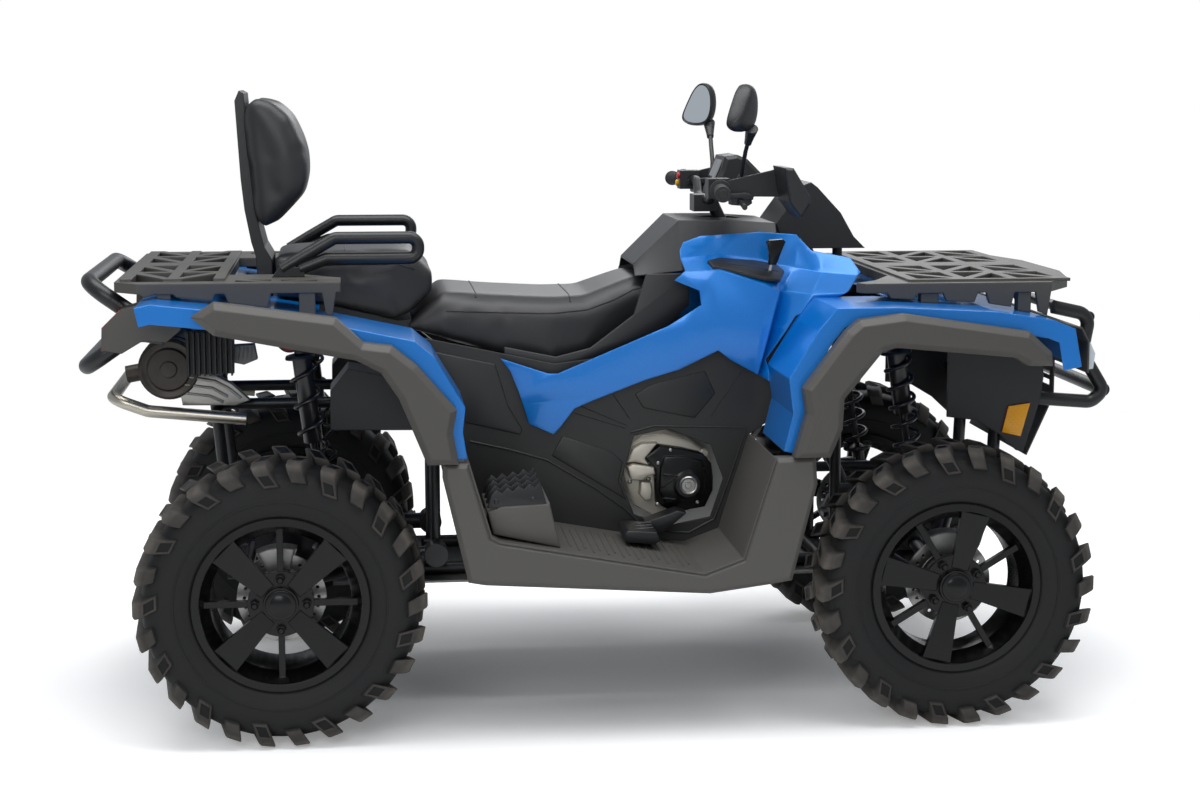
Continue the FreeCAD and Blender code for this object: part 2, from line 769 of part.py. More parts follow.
# Cowl in front of the handlebar
COWL_OUTLINE = [(417, 1104), (484, 1196), (500, 1202), (516, 1190), (573, 1129), (605, 1073),
                (633, 1045), (440, 1045)]
cowl = tray(COWL_OUTLINE, 0, -110, wall)
add("front_cowl", fused([cowl, mirrored(cowl)]))

# Front fascia below the hood
FASCIA_LINE = [(985, 906 + gap), (1005, 898 + gap), (1040, 890), (1062, 860), (1062, 700), (1000, 560)]
WING_LINE = FASCIA_LINE[:3] + [(1056, 860), (1056, 790)]
wing = bent_sheet(WING_LINE, wall, -500, -239)
fascia = fused([bent_sheet(FASCIA_LINE, wall, -240, 240), wing, mirrored(wing)])
for z in range(722, 842, 24):
    for y0, y1 in ((-215, -10), (10, 215)):
        fascia = fascia.cut(prism([(1040, z), (1040, z + 14), (1090, z + 14), (1090, z)], y0, y1))
add("front_fascia", fascia)
lamp = prism([(1056 + wall + gap, 792), (1056 + wall + gap, 856), (1072, 856), (1084, 830), (1080, 796)],
             -470, -280)
add("headlamps", both(lamp))
TAIL_LAMP = [(-962, 965), (-1011, 970.4), (-1040, 964), (-1085, 950), (-1124, 911), (-1126, 864),
             (-1083, 856), (-1036, 884), (-987, 880), (-956, 906)]
add("tail_lamps", both(prism(TAIL_LAMP, -440, -350)))


# Racks: a slotted plate with raised rails
def rack(outline, low, slots, thickness):
    plate = plan_prism(outline, low, low + thickness)
    for slot in slots:
        plate = plate.cut(plan_prism(slot, low - 5, low + thickness + 5))
    return plate


def lattice(x0, x1, y0, y1, count, bar):
    """Triangular openings in a row along x, which leave a zigzag rib between them."""
    pitch = (x1 - x0) / count
    holes = []
    for i in range(count):
        a = x0 + i * pitch
        b = a + pitch
        low, high = (y0, y1) if i % 2 else (y1, y0)
        for corners in ([(a, low), (b, low), (b, high)], [(a, low), (b, high), (a, high)]):
            holes.append(inset(corners, bar / 2))
    return holes


def side_rail(line, low, places, y0, y1):
    """Rail under each side of a rack, notched between the places where it drops to the body."""
    z_top = low + 2
    outline = [(places[0][0], z_top)]
    for x0, x1 in places:
        outline += [(x0, low - 1), (x0 + 8, line_z(line, x0 + 8) + RAIL_CLEAR),
                    (x1 - 8, line_z(line, x1 - 8) + RAIL_CLEAR), (x1, low - 1)]
    outline.append((places[-1][1], z_top))
    rail = prism(outline, y0, y1)
    return [rail, mirrored(rail)]


RAIL_CLEAR = 7
rack_t = size("rack_thickness")
FRONT_RACK = [(660, -230), (600, -350), (545, -405), (560, -430), (990, -430), (1060, -330),
              (1100, -150), (1100, 150), (1060, 330), (990, 430), (560, 430), (545, 405),
              (600, 350), (660, 230)]
front_slots = [hole for y0, y1 in ((-395, -215), (-215, -35), (35, 215), (215, 395))
               for hole in lattice(680, 1030, y0, y1, 3, 24)]


def feet(line, low, places, y0, y1):
    """Blocks from a rack's underside down to the body line, mirrored on both sides."""
    blocks = []
    for x0, x1 in places:
        block = prism([(x0, low + 2), (x0, line_z(line, x0) + gap), (x1, line_z(line, x1) + gap),
                       (x1, low + 2)], y0, y1)
        blocks += [block, mirrored(block)]
    return blocks


DECK_RISE = 6
DECK_BAR = 26


def deck(x0, x1, half, bars, top):
    """Load face of a rack: a raised rim with bars across it."""
    low = top - 1
    outer = [(x0, -half), (x1, -half), (x1, half), (x0, half)]
    plate = plan_prism(outer, low, top + DECK_RISE)
    for slot in bars:
        plate = plate.cut(plan_prism(slot, low - 1, top + DECK_RISE + 1))
    return plate


front_plate = rack(FRONT_RACK, 968, front_slots, rack_t)
front_deck = deck(680 - DECK_BAR / 2, 1030 + DECK_BAR / 2, 390 + DECK_BAR / 2, front_slots, 968 + rack_t)
front_rails = side_rail(FRONT_BODY_LINE, 968, [(612, 680), (740, 820), (840, 905), (955, 990)], -430, -416)
front_feet = feet(FRONT_BODY_LINE, 968, [(690, 730), (915, 945)], -425, -395)
add("front_rack", fused([front_plate, front_deck] + front_feet + front_rails))
REAR_RACK = [(-610, -440), (-1050, -440), (-1100, -390), (-1100, 390), (-1050, 440), (-610, 440),
             (-610, 330), (-700, 230), (-860, 230), (-860, -230), (-700, -230), (-610, -330)]
rear_slots = ([hole for y0, y1 in ((-400, -215), (-215, -30), (30, 215), (215, 400))
               for hole in lattice(-1075, -875, y0, y1, 2, 24)]
              + lattice(-850, -650, -420, -345, 2, 22) + lattice(-850, -650, 345, 420, 2, 22))
rear_plate = rack(REAR_RACK, 985, rear_slots, rack_t)
rear_feet = feet(REAR_BODY_LINE, 985, [(-1005, -975), (-700, -665)], -438, -412)
rear_deck = deck(-1075 - DECK_BAR / 2, -875 + DECK_BAR / 2, 400 - DECK_BAR / 2, rear_slots, 985 + rack_t)
REAR_DROPS = [(-1040, -1010), (-970, -880), (-860, -760), (-650, -620)]
rear_rails = side_rail(REAR_BODY_LINE, 985, REAR_DROPS, -440, -426)
add("rear_rack", fused([rear_plate, rear_deck] + rear_feet + rear_rails))

# Bumpers of formed tube
bumper_r = size("bumper_tube")
nose = DRAWN_END - bumper_r
HOOP = [(953 + cross_r + gap, 703), (1150, 688), (nose, 715), (1124, 805), (1140, 895), (1050, 915)]
hoop = tube([at(x, -260, z) for x, z in HOOP], bumper_r, 30)
front_bumper = [hoop, mirrored(hoop), rod(at(1140, -260, 890), at(1140, 260, 890), bumper_r * 0.8),
                rod(at(nose, -260, 716), at(nose, 260, 716), bumper_r)]
add("front_bumper", fused(front_bumper))
tail_r = size("tail_bumper_tube")
tail_nose = tail_r - DRAWN_END
TAIL_HOOP = [(-1000, 940), (-1060, 925), (-1165, 1000)]
TAIL_LOWER = [(-1000, 880), (-1062, 890), (tail_nose, 810)]
upper_loop = [at(x, -330, z) for x, z in TAIL_HOOP] + [at(x, 330, z) for x, z in TAIL_HOOP[::-1]]
lower_loop = [at(x, -330, z) for x, z in TAIL_LOWER] + [at(x, 330, z) for x, z in TAIL_LOWER[::-1]]
side_plate = prism([(-1010, 872), (-1010, 948), (-1062, 934), (-1062, 882)], -336, -324)
rear_bumper = [tube(upper_loop, tail_r, 60), tube(lower_loop, tail_r, 60), side_plate,
               mirrored(side_plate)]
add("rear_bumper", fused(rear_bumper))

# Towing frame of bare tube, and the silencer above it
HITCH = [(-830, 230, 676), (-1050, 230, 698), (-1130, 230, 728), (-1130, -230, 728),
         (-1050, -230, 698), (-830, -230, 676)]
add("hitch_tube", tube([at(*p) for p in HITCH], size("hitch_tube_radius"), 60))
SHIELD = [(-1017, 794), (-992, 840), (-968, 832), (-962, 794), (-904, 779), (-863, 757), (-820, 716),
          (-855, 704), (-975, 706), (-978, 734)]
silencer = rod(V(muffler_x, -210, up(790)), V(muffler_x, 210, up(790)), muffler_r)
outlet = rod(V(muffler_x, -150, up(790)), V(muffler_x - 100, -150, up(772)), 20)
outlet = outlet.cut(rod(V(muffler_x - 60, -150, up(780)), V(muffler_x - 120, -150, up(768)), 16))
add("muffler", fused([silencer, outlet, bevelled(SHIELD, -188, -205, 5)]))

# Seats, back rest and grab handles
seat_half = size("seat_half_width")
DRIVER_SEAT = [
    (-466, rounded(seat_half * 0.9, 874, 886, 6)),
    (-377, rounded(seat_half, 850, 957, 50)),
    (-249, rounded(seat_half, 810, 948, 50)),
    (-125, rounded(seat_half, 781, 942, 50)),
    (-43, rounded(seat_half * 0.95, 803, 944, 50)),
    (72, rounded(seat_half * 0.8, 878, 985, 45)),
    (150, rounded(seat_half * 0.7, 917, 988, 30)),
]
add("driver_seat", loaf(DRIVER_SEAT))
PASSENGER_SEAT = [
    (-765, rounded(seat_half * 0.8, 945.7, 1046, 20)),
    (-662, rounded(seat_half * 0.95, 931.8, 1052, 35)),
    (-620, rounded(seat_half * 0.95, 926, 1054, 35)),
    (-480, rounded(seat_half * 0.95, 892, 1056, 35)),
    (-445, rounded(seat_half * 0.9, 907, 1054, 35)),
    (-392, rounded(seat_half * 0.8, 956, 1005, 20)),
]
add("passenger_seat", loaf(PASSENGER_SEAT))
PAD = [(-800, 1410), (-760, 1398), (-720, 1363), (-692, 1303), (-682, 1256), (-681, 1215),
       (-692, 1186), (-736, 1140), (-778, 1099), (-795, 1105), (-803, 1140), (-810, 1210),
       (-817, 1274), (-822, 1349), (-822, 1390)]
add("backrest_pad", pillow(PAD, 165, 15))
BACK = [(-846, 1395), (-836, 1418), (-825, 1412), (-823, 1390), (-823, 1349), (-818, 1274),
        (-811, 1210), (-804, 1140), (-796, 1105), (-785, 1060), (-768, 1030), (-768, 946.1),
        (-800, 950.4), (-806, 1040), (-815, 1070), (-829, 1146), (-836, 1216)]
add("backrest_frame", prism(BACK, -110, 110))
HANDLE = [(-740, 1024), (-690, 1054), (-622, 1093), (-436, 1093), (-436, 1047), (-640, 1047),
          (-700, 1024)]
handle = tube([at(x, -300, z) for x, z in HANDLE], size("handle_tube"), 24)
handle_foot = prism([(-762, 985 + rack_t + gap), (-690, 985 + rack_t + gap), (-690, 1030), (-745, 1030)],
                    -312, -288)
add("grab_handles", both(handle.fuse(handle_foot)))

# Suspension and drive line
hub_y_front = centre_y["front"] - size("kingpin_inset")
kingpin = V(axle_x, -hub_y_front, hub_z)
arm_r = size("arm_tube")
pin_r = size("pin_radius")
bush_r = arm_r * 1.4
EYE = 24
EYE_RISE = 70
UP_AXIS = V(0, 0, 1)


DIFF_RISE = 34


def half_shaft(x, inner, outer, radius):
    """Sloping shaft from the gear case down to wheel height."""
    return rod(V(x, -inner, hub_z + DIFF_RISE), V(x, -outer, hub_z), radius)


def wishbone(rise, z_in, spread, rail_radius):
    """Two-legged arm from bushes beside the frame rail to an eye round the kingpin."""
    tip = kingpin + V(0, 0, rise)
    inner_y = rail_y + rail_radius + gap + bush_r
    eye_low = tip - V(0, 0, EYE / 2)
    legs = [Part.makeCylinder(2 * pin_r, EYE, eye_low, UP_AXIS)]
    for sign in (-1, 1):
        root = V(axle_x + sign * spread, -inner_y, up(z_in))
        legs.append(rod(root, tip, arm_r))
        legs.append(rod(root, root + V(-sign * 36, 0, 0), bush_r))
    arm = fused(legs)
    return arm.cut(Part.makeCylinder(pin_r + gap, 4 * EYE, tip - V(0, 0, 2 * EYE), UP_AXIS))


lower_arm = wishbone(-EYE_RISE, rail_z, 120, tube_r)
upper_arm = wishbone(EYE_RISE, 470, 100, cross_r)
foot = FRONT_SHOCK[1]
foot_axis = (FRONT_SHOCK[0] - foot).normalize()
perch = fused([
    rod(V(axle_x - 56, foot.y, foot.z), V(axle_x + 56, foot.y, foot.z), arm_r),
    rod(foot, foot + foot_axis * size("mount_length"), size("damper_radius") * 0.7),
])
upper_arm = upper_arm.fuse(perch).removeSplitter()

sleeve_start = centre_y["rear"] - RIM_WIDTH["rear"] / 2 - 16
sleeve_end = centre_y["rear"] + hub_face("rear") - gap - 56 - size("running_gap")
rear_hub = V(-axle_x, -sleeve_start, hub_z)
rear_arm = tube([at(-400, -rail_y - tube_r - 26, 345), at(-560, -rail_y - 90, 335),
                 rear_hub + V(0, -10, 0)], arm_r * 1.8, 80)
rear_foot = REAR_SHOCK[1]
rear_axis = (REAR_SHOCK[0] - rear_foot).normalize()
rear_arm = fused([
    rear_arm,
    Part.makeCylinder(42, sleeve_end - sleeve_start, rear_hub, V(0, -1, 0)),
    rod(rear_foot, rear_foot + rear_axis * size("mount_length"), size("damper_radius") * 0.7),
    rod(at(-400, -rail_y - cross_r - gap, 345), at(-400, -rail_y - cross_r - 60, 345), 28),
])
shaft_room = half_shaft(-axle_x, 60, sleeve_start - 20, size("shaft_radius") + size("running_gap"))
spindle_bore = Part.makeCylinder(spindle + gap, 400, V(-axle_x, -120, hub_z), V(0, -1, 0))
rear_arm = rear_arm.cut(spindle_bore).cut(shaft_room)
add("suspension_arms", Part.makeCompound([
    lower_arm, mirrored(lower_arm), upper_arm, mirrored(upper_arm), rear_arm, mirrored(rear_arm)]))


SPRING_TURNS = 7
TURN_STEPS = 10


def coil(radius, wire, length):
    """Coil spring along Z, of six-sided wire in short straight pieces."""
    steps = SPRING_TURNS * TURN_STEPS
    rings = []
    for i in range(steps + 1):
        angle = 2 * math.pi * i / TURN_STEPS
        ring = []
        for k in range(6):
            out = radius + wire * math.cos(k * math.pi / 3)
            ring.append(V(out * math.cos(angle), out * math.sin(angle),
                          length * i / steps + wire * math.sin(k * math.pi / 3)))
        rings.append(ring)
    faces = [Part.Face(polygon(rings[0])), Part.Face(polygon(rings[-1]))]
    for near, far in zip(rings, rings[1:]):
        for k in range(6):
            j = (k + 1) % 6
            for corners in ([near[k], near[j], far[j]], [near[k], far[j], far[k]]):
                faces.append(Part.Face(polygon(corners)))
    spring = Part.Solid(Part.Shell(faces))
    if spring.Volume < 0:
        spring.reverse()
    return spring


def shock(top, foot):
    """Damper with its coil spring between two cups, between the two stubs that carry it."""
    axis = (foot - top).normalize()
    start = top + axis * (size("mount_length") + gap)
    end = foot - axis * (size("mount_length") + gap)
    spring_top = start + axis * 14
    spring_foot = end - axis * 34
    coil_length = (spring_foot - spring_top).Length
    wire = size("spring_wire")
    coil_radius = size("spring_radius") - wire
    spring = coil(coil_radius, wire, coil_length)
    spring.Placement = FreeCAD.Placement(spring_top, FreeCAD.Rotation(V(0, 0, 1), axis))
    cup = size("spring_radius") + 3
    return fused([
        rod(spring_top - axis * (wire + 3), spring_top + axis * wire, cup),
        rod(spring_foot - axis * wire, spring_foot + axis * (wire + 3), cup),
        rod(start, end, size("damper_radius") * 0.7),
        rod(spring_top, spring_top + axis * coil_length * 0.45, size("damper_radius")),
        spring,
    ])


front_shock = shock(*FRONT_SHOCK)
rear_shock = shock(*REAR_SHOCK)
add("shocks", Part.makeCompound([
    front_shock, mirrored(front_shock), rear_shock, mirrored(rear_shock)]))

shaft_r = size("shaft_radius")
front_shaft_end = hub_y_front - 40
front_half = half_shaft(axle_x, 60, front_shaft_end, shaft_r)


def case_foot(x):
    """Foot of a gear case, standing on both lower rails."""
    low = up(rail_z) + tube_r + gap
    return Part.makeBox(60, 2 * rail_y, 16, V(x - 30, -rail_y, low))


front_drive = fused([
    case_foot(axle_x),
    Part.makeCylinder(70, 150, V(axle_x, -75, hub_z + DIFF_RISE), V(0, 1, 0)),
    front_half, mirrored(front_half),
])
rear_spindle_end = centre_y["rear"] + hub_face("rear") - 8
rear_half = half_shaft(-axle_x, 60, sleeve_start - 20, shaft_r).fuse(
    rod(V(-axle_x, -sleeve_start + 26, hub_z), V(-axle_x, -rear_spindle_end, hub_z), spindle))
rear_drive = fused([
    case_foot(-axle_x),
    Part.makeCylinder(75, 170, V(-axle_x, -85, hub_z + DIFF_RISE), V(0, 1, 0)),
    rear_half, mirrored(rear_half),
])
add("drive_line", Part.makeCompound([front_drive, rear_drive]))

# Small fixed pieces
cooler = [prism([(-958, 786), (-958, 886), (-850, 878), (-852, 788)], -276, -262)]
for x in range(-954, -856, 12):
    cooler.append(prism([(x, 786), (x, 884), (x + 4, 884), (x + 4, 786)], -300, -275))
add("regulator", fused(cooler))
red = Part.makeCylinder(28, 8, REAR_SHOCK[0] - V(20, 18 + gap, 0), V(0, -1, 0))
amber = prism([(935, 687), (988, 695), (967, 615), (921, 626)], -306, -303)
add("reflectors", Part.makeCompound([red, mirrored(red), amber, mirrored(amber)]))
TOOL_BOX = [(-638, 745), (-597, 797), (-510, 778), (-442, 653), (-639, 656)]
add("tool_boxes", both(prism(TOOL_BOX, -290, -rail_y - cross_r - gap)))
GUARD = [(790, 664), (860, 655), (915, 622), (958, 582), (975, 578), (1012, 700), (1020, 759),
         (1000, 895), (955, 913.4), (790, 930)]
add("splash_guards", both(prism(GUARD, -303 + gap, -296)))

# Steering: column with handlebar, turning about the raked column axis
bar_r = size("bar_tube")
column = rod(column_foot - column_up * 20, column_head - column_up * 40, size("column_tube"))
clamp = Part.makeBox(60, 70, 40, column_head + V(-30, -35, -60))
BAR = [(240, 400, 1190), (268, 160, 1196), (262, 90, 1160), (262, -90, 1160), (268, -160, 1196),
       (240, -400, 1190)]
bar = tube([on_bar(*p) for p in BAR], bar_r, 50)
steer_arm = size("steer_arm")
pitman = fused([
    Part.makeBox(steer_arm, 40, 12, V(column_foot.x - steer_arm, -20, column_foot.z - 26)),
])
add("handlebar", fused([column, clamp, bar, pitman]))
grip_r = size("grip_radius")
bar_end = on_bar(240, -400, 1190)
bar_bend = on_bar(268, -160, 1196)
bar_bore = rod(bar_end, bar_bend, bar_r + gap)
grip = rod(bar_end, bar_end + (bar_bend - bar_end) * 0.5, grip_r).cut(bar_bore)
add("grips", both(grip))
LEVER = [(277, -222, 1177), (298, -236, 1168), (304, -275, 1164), (292, -385, 1160)]
control = Part.makeBox(50, 50, 46, on_bar(232, -246, 1172)).cut(bar_bore)
control = control.fuse(tube([on_bar(*p) for p in LEVER], 6, 24))
add("bar_controls", both(control))
POD = [(268, 1170 + gap), (270, 1185), (290, 1228), (300, 1262), (330, 1266), (355, 1255),
       (395, 1215), (360, 1185), (300, 1170 + gap)]
add("instrument_pod", pillow(POD, 74, 8, on_bar))
GUARD_PLATE = [(381, 1248), (402, 1247), (441, 1184), (441, 1167), (421, 1135), (394, 1170)]
guard_plate = moulding(GUARD_PLATE, -250, -390, 3, 5, on_bar)
guard_arm = prism([(269.3, 1212), (390, 1240), (396, 1176), (269.3, 1178)], -254, -248, on_bar)
add("hand_guards", both(guard_plate.fuse(guard_arm)))
STALK = [(258, -237, 1218.3), (258, -237, 1242), (296, -250, 1275), (309, -300, 1345)]
mirror_stalk = tube([on_bar(*p) for p in STALK], 6, 20)
MIRROR_FACE = [(-26, -50), (14, -54), (42, -38), (50, -8), (44, 26), (24, 48), (-6, 50), (-32, 32),
               (-46, 0), (-44, -30)]
mirror_centre = on_bar(288, -306, 1387)
mirror_turn = math.radians(42)
glass_side = V(-math.cos(mirror_turn), math.sin(mirror_turn), 0)
mirror_side = V(math.sin(mirror_turn), math.cos(mirror_turn), 0)


def mirror_ring(outline, depth):
    """Outline of the mirror in its own plane, a depth behind its face."""
    return polygon([mirror_centre + mirror_side * u + V(0, 0, w) - glass_side * depth for u, w in outline])


mirror_shell = Part.makeLoft([mirror_ring(MIRROR_FACE, 0), mirror_ring(MIRROR_FACE, 10),
                              mirror_ring(inset(MIRROR_FACE, 8), 26), mirror_ring(inset(MIRROR_FACE, 22), 34)],
                             True, True)
add("mirrors", both(fused([mirror_stalk, mirror_shell])))
glass = Part.Face(mirror_ring(inset(MIRROR_FACE, 6), -gap)).extrude(glass_side * 2)
add("mirror_glass", both(glass))

# Knuckles on their kingpins, and the tie rods
spindle_end = centre_y["front"] + hub_face("front") - 8
lug_rise = EYE_RISE - EYE / 2 - 4


def knuckle_shape():
    """Upright between two lugs, with the kingpin's two ends, the stub axle and a steering arm."""
    pieces = [
        Part.makeBox(56, 24, 2 * lug_rise, kingpin + V(-28, -48, -lug_rise)),
        rod(kingpin + V(0, -30, 0), V(axle_x, -spindle_end, hub_z), spindle),
        Part.makeBox(steer_arm, 18, 16, kingpin + V(-steer_arm, -48, -8)),
    ]
    for sign in (-1, 1):
        low = min(sign * lug_rise, sign * (lug_rise - 14))
        pieces.append(Part.makeBox(32, 40, 14, kingpin + V(-16, -40, low)))
        pieces.append(Part.makeCylinder(16, 14, kingpin + V(0, 0, low), UP_AXIS))
        pieces.append(Part.makeCylinder(pin_r, EYE + 20, kingpin + V(0, 0, sign * (lug_rise - 4)),
                                        V(0, 0, sign)))
    return fused(pieces)


knuckle = knuckle_shape()
add("knuckle_right", knuckle)
add("knuckle_left", mirrored(knuckle))
ball = kingpin + V(10 - steer_arm, -39, 8 + gap)
rod_inner = V(column_foot.x - steer_arm + 10, -40, column_foot.z - 20)
tie_rod = fused([
    Part.makeCylinder(12, 20, ball, UP_AXIS),
    rod(ball + V(0, 0, 10), rod_inner, 8),
])
add("tie_rod_right", tie_rod)
add("tie_rod_left", mirrored(tie_rod))

doc.recompute()

# Every object and every sub-part is sound before anything is written
for item in doc.Objects:
    for word in ("Invalid", "Error"):
        if word in item.State:
            raise RuntimeError("%s is %s" % (item.Label, word))
for piece in subparts:
    if piece.Shape.isNull() or not piece.Shape.isValid() or piece.Shape.Volume < 1:
        raise RuntimeError("%s has no sound shape" % piece.Label)

for piece in subparts:
    piece.Shape.exportStep("parts/%s.step" % piece.Label)
print(len(subparts), "sub-parts written")
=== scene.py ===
import math
import bmesh
import bpy
from mathutils import Matrix, Vector
from mathutils.bvhtree import BVHTree


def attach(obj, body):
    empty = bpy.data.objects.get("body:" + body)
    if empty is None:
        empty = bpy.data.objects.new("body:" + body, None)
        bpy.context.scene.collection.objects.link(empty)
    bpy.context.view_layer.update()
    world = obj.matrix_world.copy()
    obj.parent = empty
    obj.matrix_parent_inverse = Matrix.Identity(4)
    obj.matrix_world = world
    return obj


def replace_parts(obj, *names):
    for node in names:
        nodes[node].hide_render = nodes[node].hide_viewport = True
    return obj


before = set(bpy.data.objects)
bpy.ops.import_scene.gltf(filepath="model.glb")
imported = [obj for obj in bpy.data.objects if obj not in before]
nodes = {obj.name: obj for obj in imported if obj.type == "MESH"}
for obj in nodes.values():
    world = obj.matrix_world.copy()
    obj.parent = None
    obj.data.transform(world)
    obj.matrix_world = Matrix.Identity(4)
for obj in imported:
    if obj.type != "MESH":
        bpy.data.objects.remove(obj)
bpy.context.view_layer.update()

scene = bpy.context.scene

# Viewpoint: the rider's right side from a little behind the middle, at standing eye height
camera_data = bpy.data.cameras.new("camera")
camera_data.sensor_width = 36
camera_data.lens = 65.718
camera = bpy.data.objects.new("camera", camera_data)
camera.location = (-0.579, -5.233, 1.455)
camera.rotation_euler = (math.radians(90 - 8.456), 0, math.radians(-6.41))
scene.collection.objects.link(camera)
scene.camera = camera


# Studio: a white floor that fades into a white surround, with painted shade under the vehicle, under soft overhead
# light
def srgb(code, alpha=1.0):
    """Linear colour of a six-digit sRGB hex code."""
    parts = [int(code[i:i + 2], 16) / 255 for i in (1, 3, 5)]
    return [c / 12.92 if c <= 0.04045 else ((c + 0.055) / 1.055) ** 2.4 for c in parts] + [alpha]


def add_node(tree, kind, settings=None, links=None):
    """Adds a node, sets its values by name or number and feeds its inputs."""
    node = tree.nodes.new(kind)
    for key, value in (settings or {}).items():
        if isinstance(key, int) or key in node.inputs:
            node.inputs[key].default_value = value
        else:
            setattr(node, key, value)
    for key, source in (links or {}).items():
        tree.links.new(source, node.inputs[key])
    return node


floor_size = 60
floor_mesh = bpy.data.meshes.new("floor")
floor_bm = bmesh.new()
bmesh.ops.create_grid(floor_bm, x_segments=1, y_segments=1, size=floor_size)
floor_bm.to_mesh(floor_mesh)
floor_bm.free()
floor = bpy.data.objects.new("floor", floor_mesh)
scene.collection.objects.link(floor)

floor_paint = bpy.data.materials.new("white_floor_paint")
floor_paint.use_nodes = True
tree = floor_paint.node_tree
tree.nodes.clear()
place = add_node(tree, "ShaderNodeTexCoord")
reach = add_node(tree, "ShaderNodeVectorMath", {"operation": "LENGTH"}, {0: place.outputs["Object"]})
fade = add_node(tree, "ShaderNodeMapRange", {"From Min": 1.5, "From Max": 3.2}, {"Value": reach.outputs["Value"]})
path = add_node(tree, "ShaderNodeLightPath")
seen = add_node(tree, "ShaderNodeMath", {"operation": "MULTIPLY"},
                {0: fade.outputs["Result"], 1: path.outputs["Is Camera Ray"]})
matt = add_node(tree, "ShaderNodeBsdfDiffuse", {"Color": srgb("#f4f4f4")})
# Painted shade: the camera-only lift fades to nothing over an oval under the vehicle, so the floor there shows
# darker than the lifted floor round it
squeezed = add_node(tree, "ShaderNodeMapping", {"Scale": (0.75, 1.35, 1)}, {"Vector": place.outputs["Object"]})
around = add_node(tree, "ShaderNodeVectorMath", {"operation": "LENGTH"}, {0: squeezed.outputs["Vector"]})
lift_faded_for_painted_shade = add_node(tree, "ShaderNodeMapRange", {"From Min": 0.35, "From Max": 1.25, "To Max": 0.42},
                    {"Value": around.outputs["Value"]})
lift = add_node(tree, "ShaderNodeMath", {"operation": "MULTIPLY"},
                {0: path.outputs["Is Camera Ray"], 1: lift_faded_for_painted_shade.outputs["Result"]})
lit = add_node(tree, "ShaderNodeEmission", {"Color": (1, 1, 1, 1)}, {"Strength": lift.outputs[0]})
near = add_node(tree, "ShaderNodeAddShader", {}, {0: matt.outputs[0], 1: lit.outputs[0]})
glow = add_node(tree, "ShaderNodeEmission", {"Color": (1, 1, 1, 1), "Strength": 1.0})
mixed = add_node(tree, "ShaderNodeMixShader", {}, {0: seen.outputs[0], 1: near.outputs[0], 2: glow.outputs[0]})
add_node(tree, "ShaderNodeOutputMaterial", {}, {"Surface": mixed.outputs[0]})
floor_mesh.materials.append(floor_paint)

world = bpy.data.worlds.new("surround")
scene.world = world
world.use_nodes = True
tree = world.node_tree
tree.nodes.clear()
path = add_node(tree, "ShaderNodeLightPath")
dim = add_node(tree, "ShaderNodeBackground", {"Color": srgb("#dfe4ea"), "Strength": 0.62})
bright = add_node(tree, "ShaderNodeBackground", {"Color": (1, 1, 1, 1), "Strength": 1.0})
mixed = add_node(tree, "ShaderNodeMixShader", {},
                 {0: path.outputs["Is Camera Ray"], 1: dim.outputs[0], 2: bright.outputs[0]})
add_node(tree, "ShaderNodeOutputWorld", {}, {"Surface": mixed.outputs[0]})

for name, spot, size, power, aim in (
        ("overhead_panel", (-0.2, -0.6, 3.6), (4.2, 2.2), 120, (0, 0, 0.6)),
        ("side_panel", (-1.6, -4.6, 2.6), (2.6, 1.6), 55, (0, 0, 0.6)),
        ("far_panel", (1.2, 3.6, 2.8), (3.0, 1.6), 40, (0, 0, 0.7))):
    lamp_data = bpy.data.lights.new(name, "AREA")
    lamp_data.shape = "RECTANGLE"
    lamp_data.size, lamp_data.size_y = size
    lamp_data.energy = power
    lamp = bpy.data.objects.new(name, lamp_data)
    lamp.location = spot
    lamp.rotation_euler = (Vector(aim) - Vector(spot)).to_track_quat("-Z", "Y").to_euler()
    scene.collection.objects.link(lamp)
scene.view_settings.view_transform = "Standard"


# Coloured bodywork: injection-moulded ABS panels, sprayed in a clear-coated metallic blue whose flakes sparkle
# under the lacquer, and clipped and screwed to the frame
def new_finish(name, colour, roughness, metallic=0):
    """A material with its main shader, ready for pattern nodes."""
    finish = bpy.data.materials.new(name)
    finish.use_nodes = True
    tree = finish.node_tree
    shader = tree.nodes["Principled BSDF"]
    shader.inputs["Base Color"].default_value = srgb(colour)
    shader.inputs["Roughness"].default_value = roughness
    shader.inputs["Metallic"].default_value = metallic
    finish.diffuse_color = srgb(colour)
    spots = add_node(tree, "ShaderNodeTexCoord")
    return finish, tree, shader, spots.outputs["Object"]


def soften(tree, shader, radius, height=None, distance=0.0004, strength=1.0):
    """Rounds the look of edges, and adds a relief where one is given."""
    edge = add_node(tree, "ShaderNodeBevel", {"samples": 4, "Radius": radius})
    if height is None:
        tree.links.new(edge.outputs["Normal"], shader.inputs["Normal"])
        return
    relief = add_node(tree, "ShaderNodeBump", {"Strength": strength, "Distance": distance},
                      {"Height": height, "Normal": edge.outputs["Normal"]})
    tree.links.new(relief.outputs["Normal"], shader.inputs["Normal"])


def grained(name, colour, roughness, metallic, scale, detail, edge_radius, depth):
    """A finish with a fine noise relief: noise scale and detail, radius of its soft edges, depth of the relief."""
    finish, tree, shader, spots = new_finish(name, colour, roughness, metallic)
    noise = add_node(tree, "ShaderNodeTexNoise", {"Scale": scale, "Detail": detail}, {"Vector": spots})
    soften(tree, shader, edge_radius, noise.outputs["Fac"], depth)
    return finish


def smeared(tree, shader, spots, scale, detail, low, high):
    """Lets the roughness wander between two values in smears."""
    smear = add_node(tree, "ShaderNodeTexNoise", {"Scale": scale, "Detail": detail}, {"Vector": spots})
    haze = add_node(tree, "ShaderNodeMapRange", {"To Min": low, "To Max": high}, {"Value": smear.outputs["Fac"]})
    tree.links.new(haze.outputs["Result"], shader.inputs["Roughness"])


def dress(names, finish):
    """Gives CAD nodes a finish."""
    for name in names:
        mesh = nodes[name].data
        mesh.materials.clear()
        mesh.materials.append(finish)


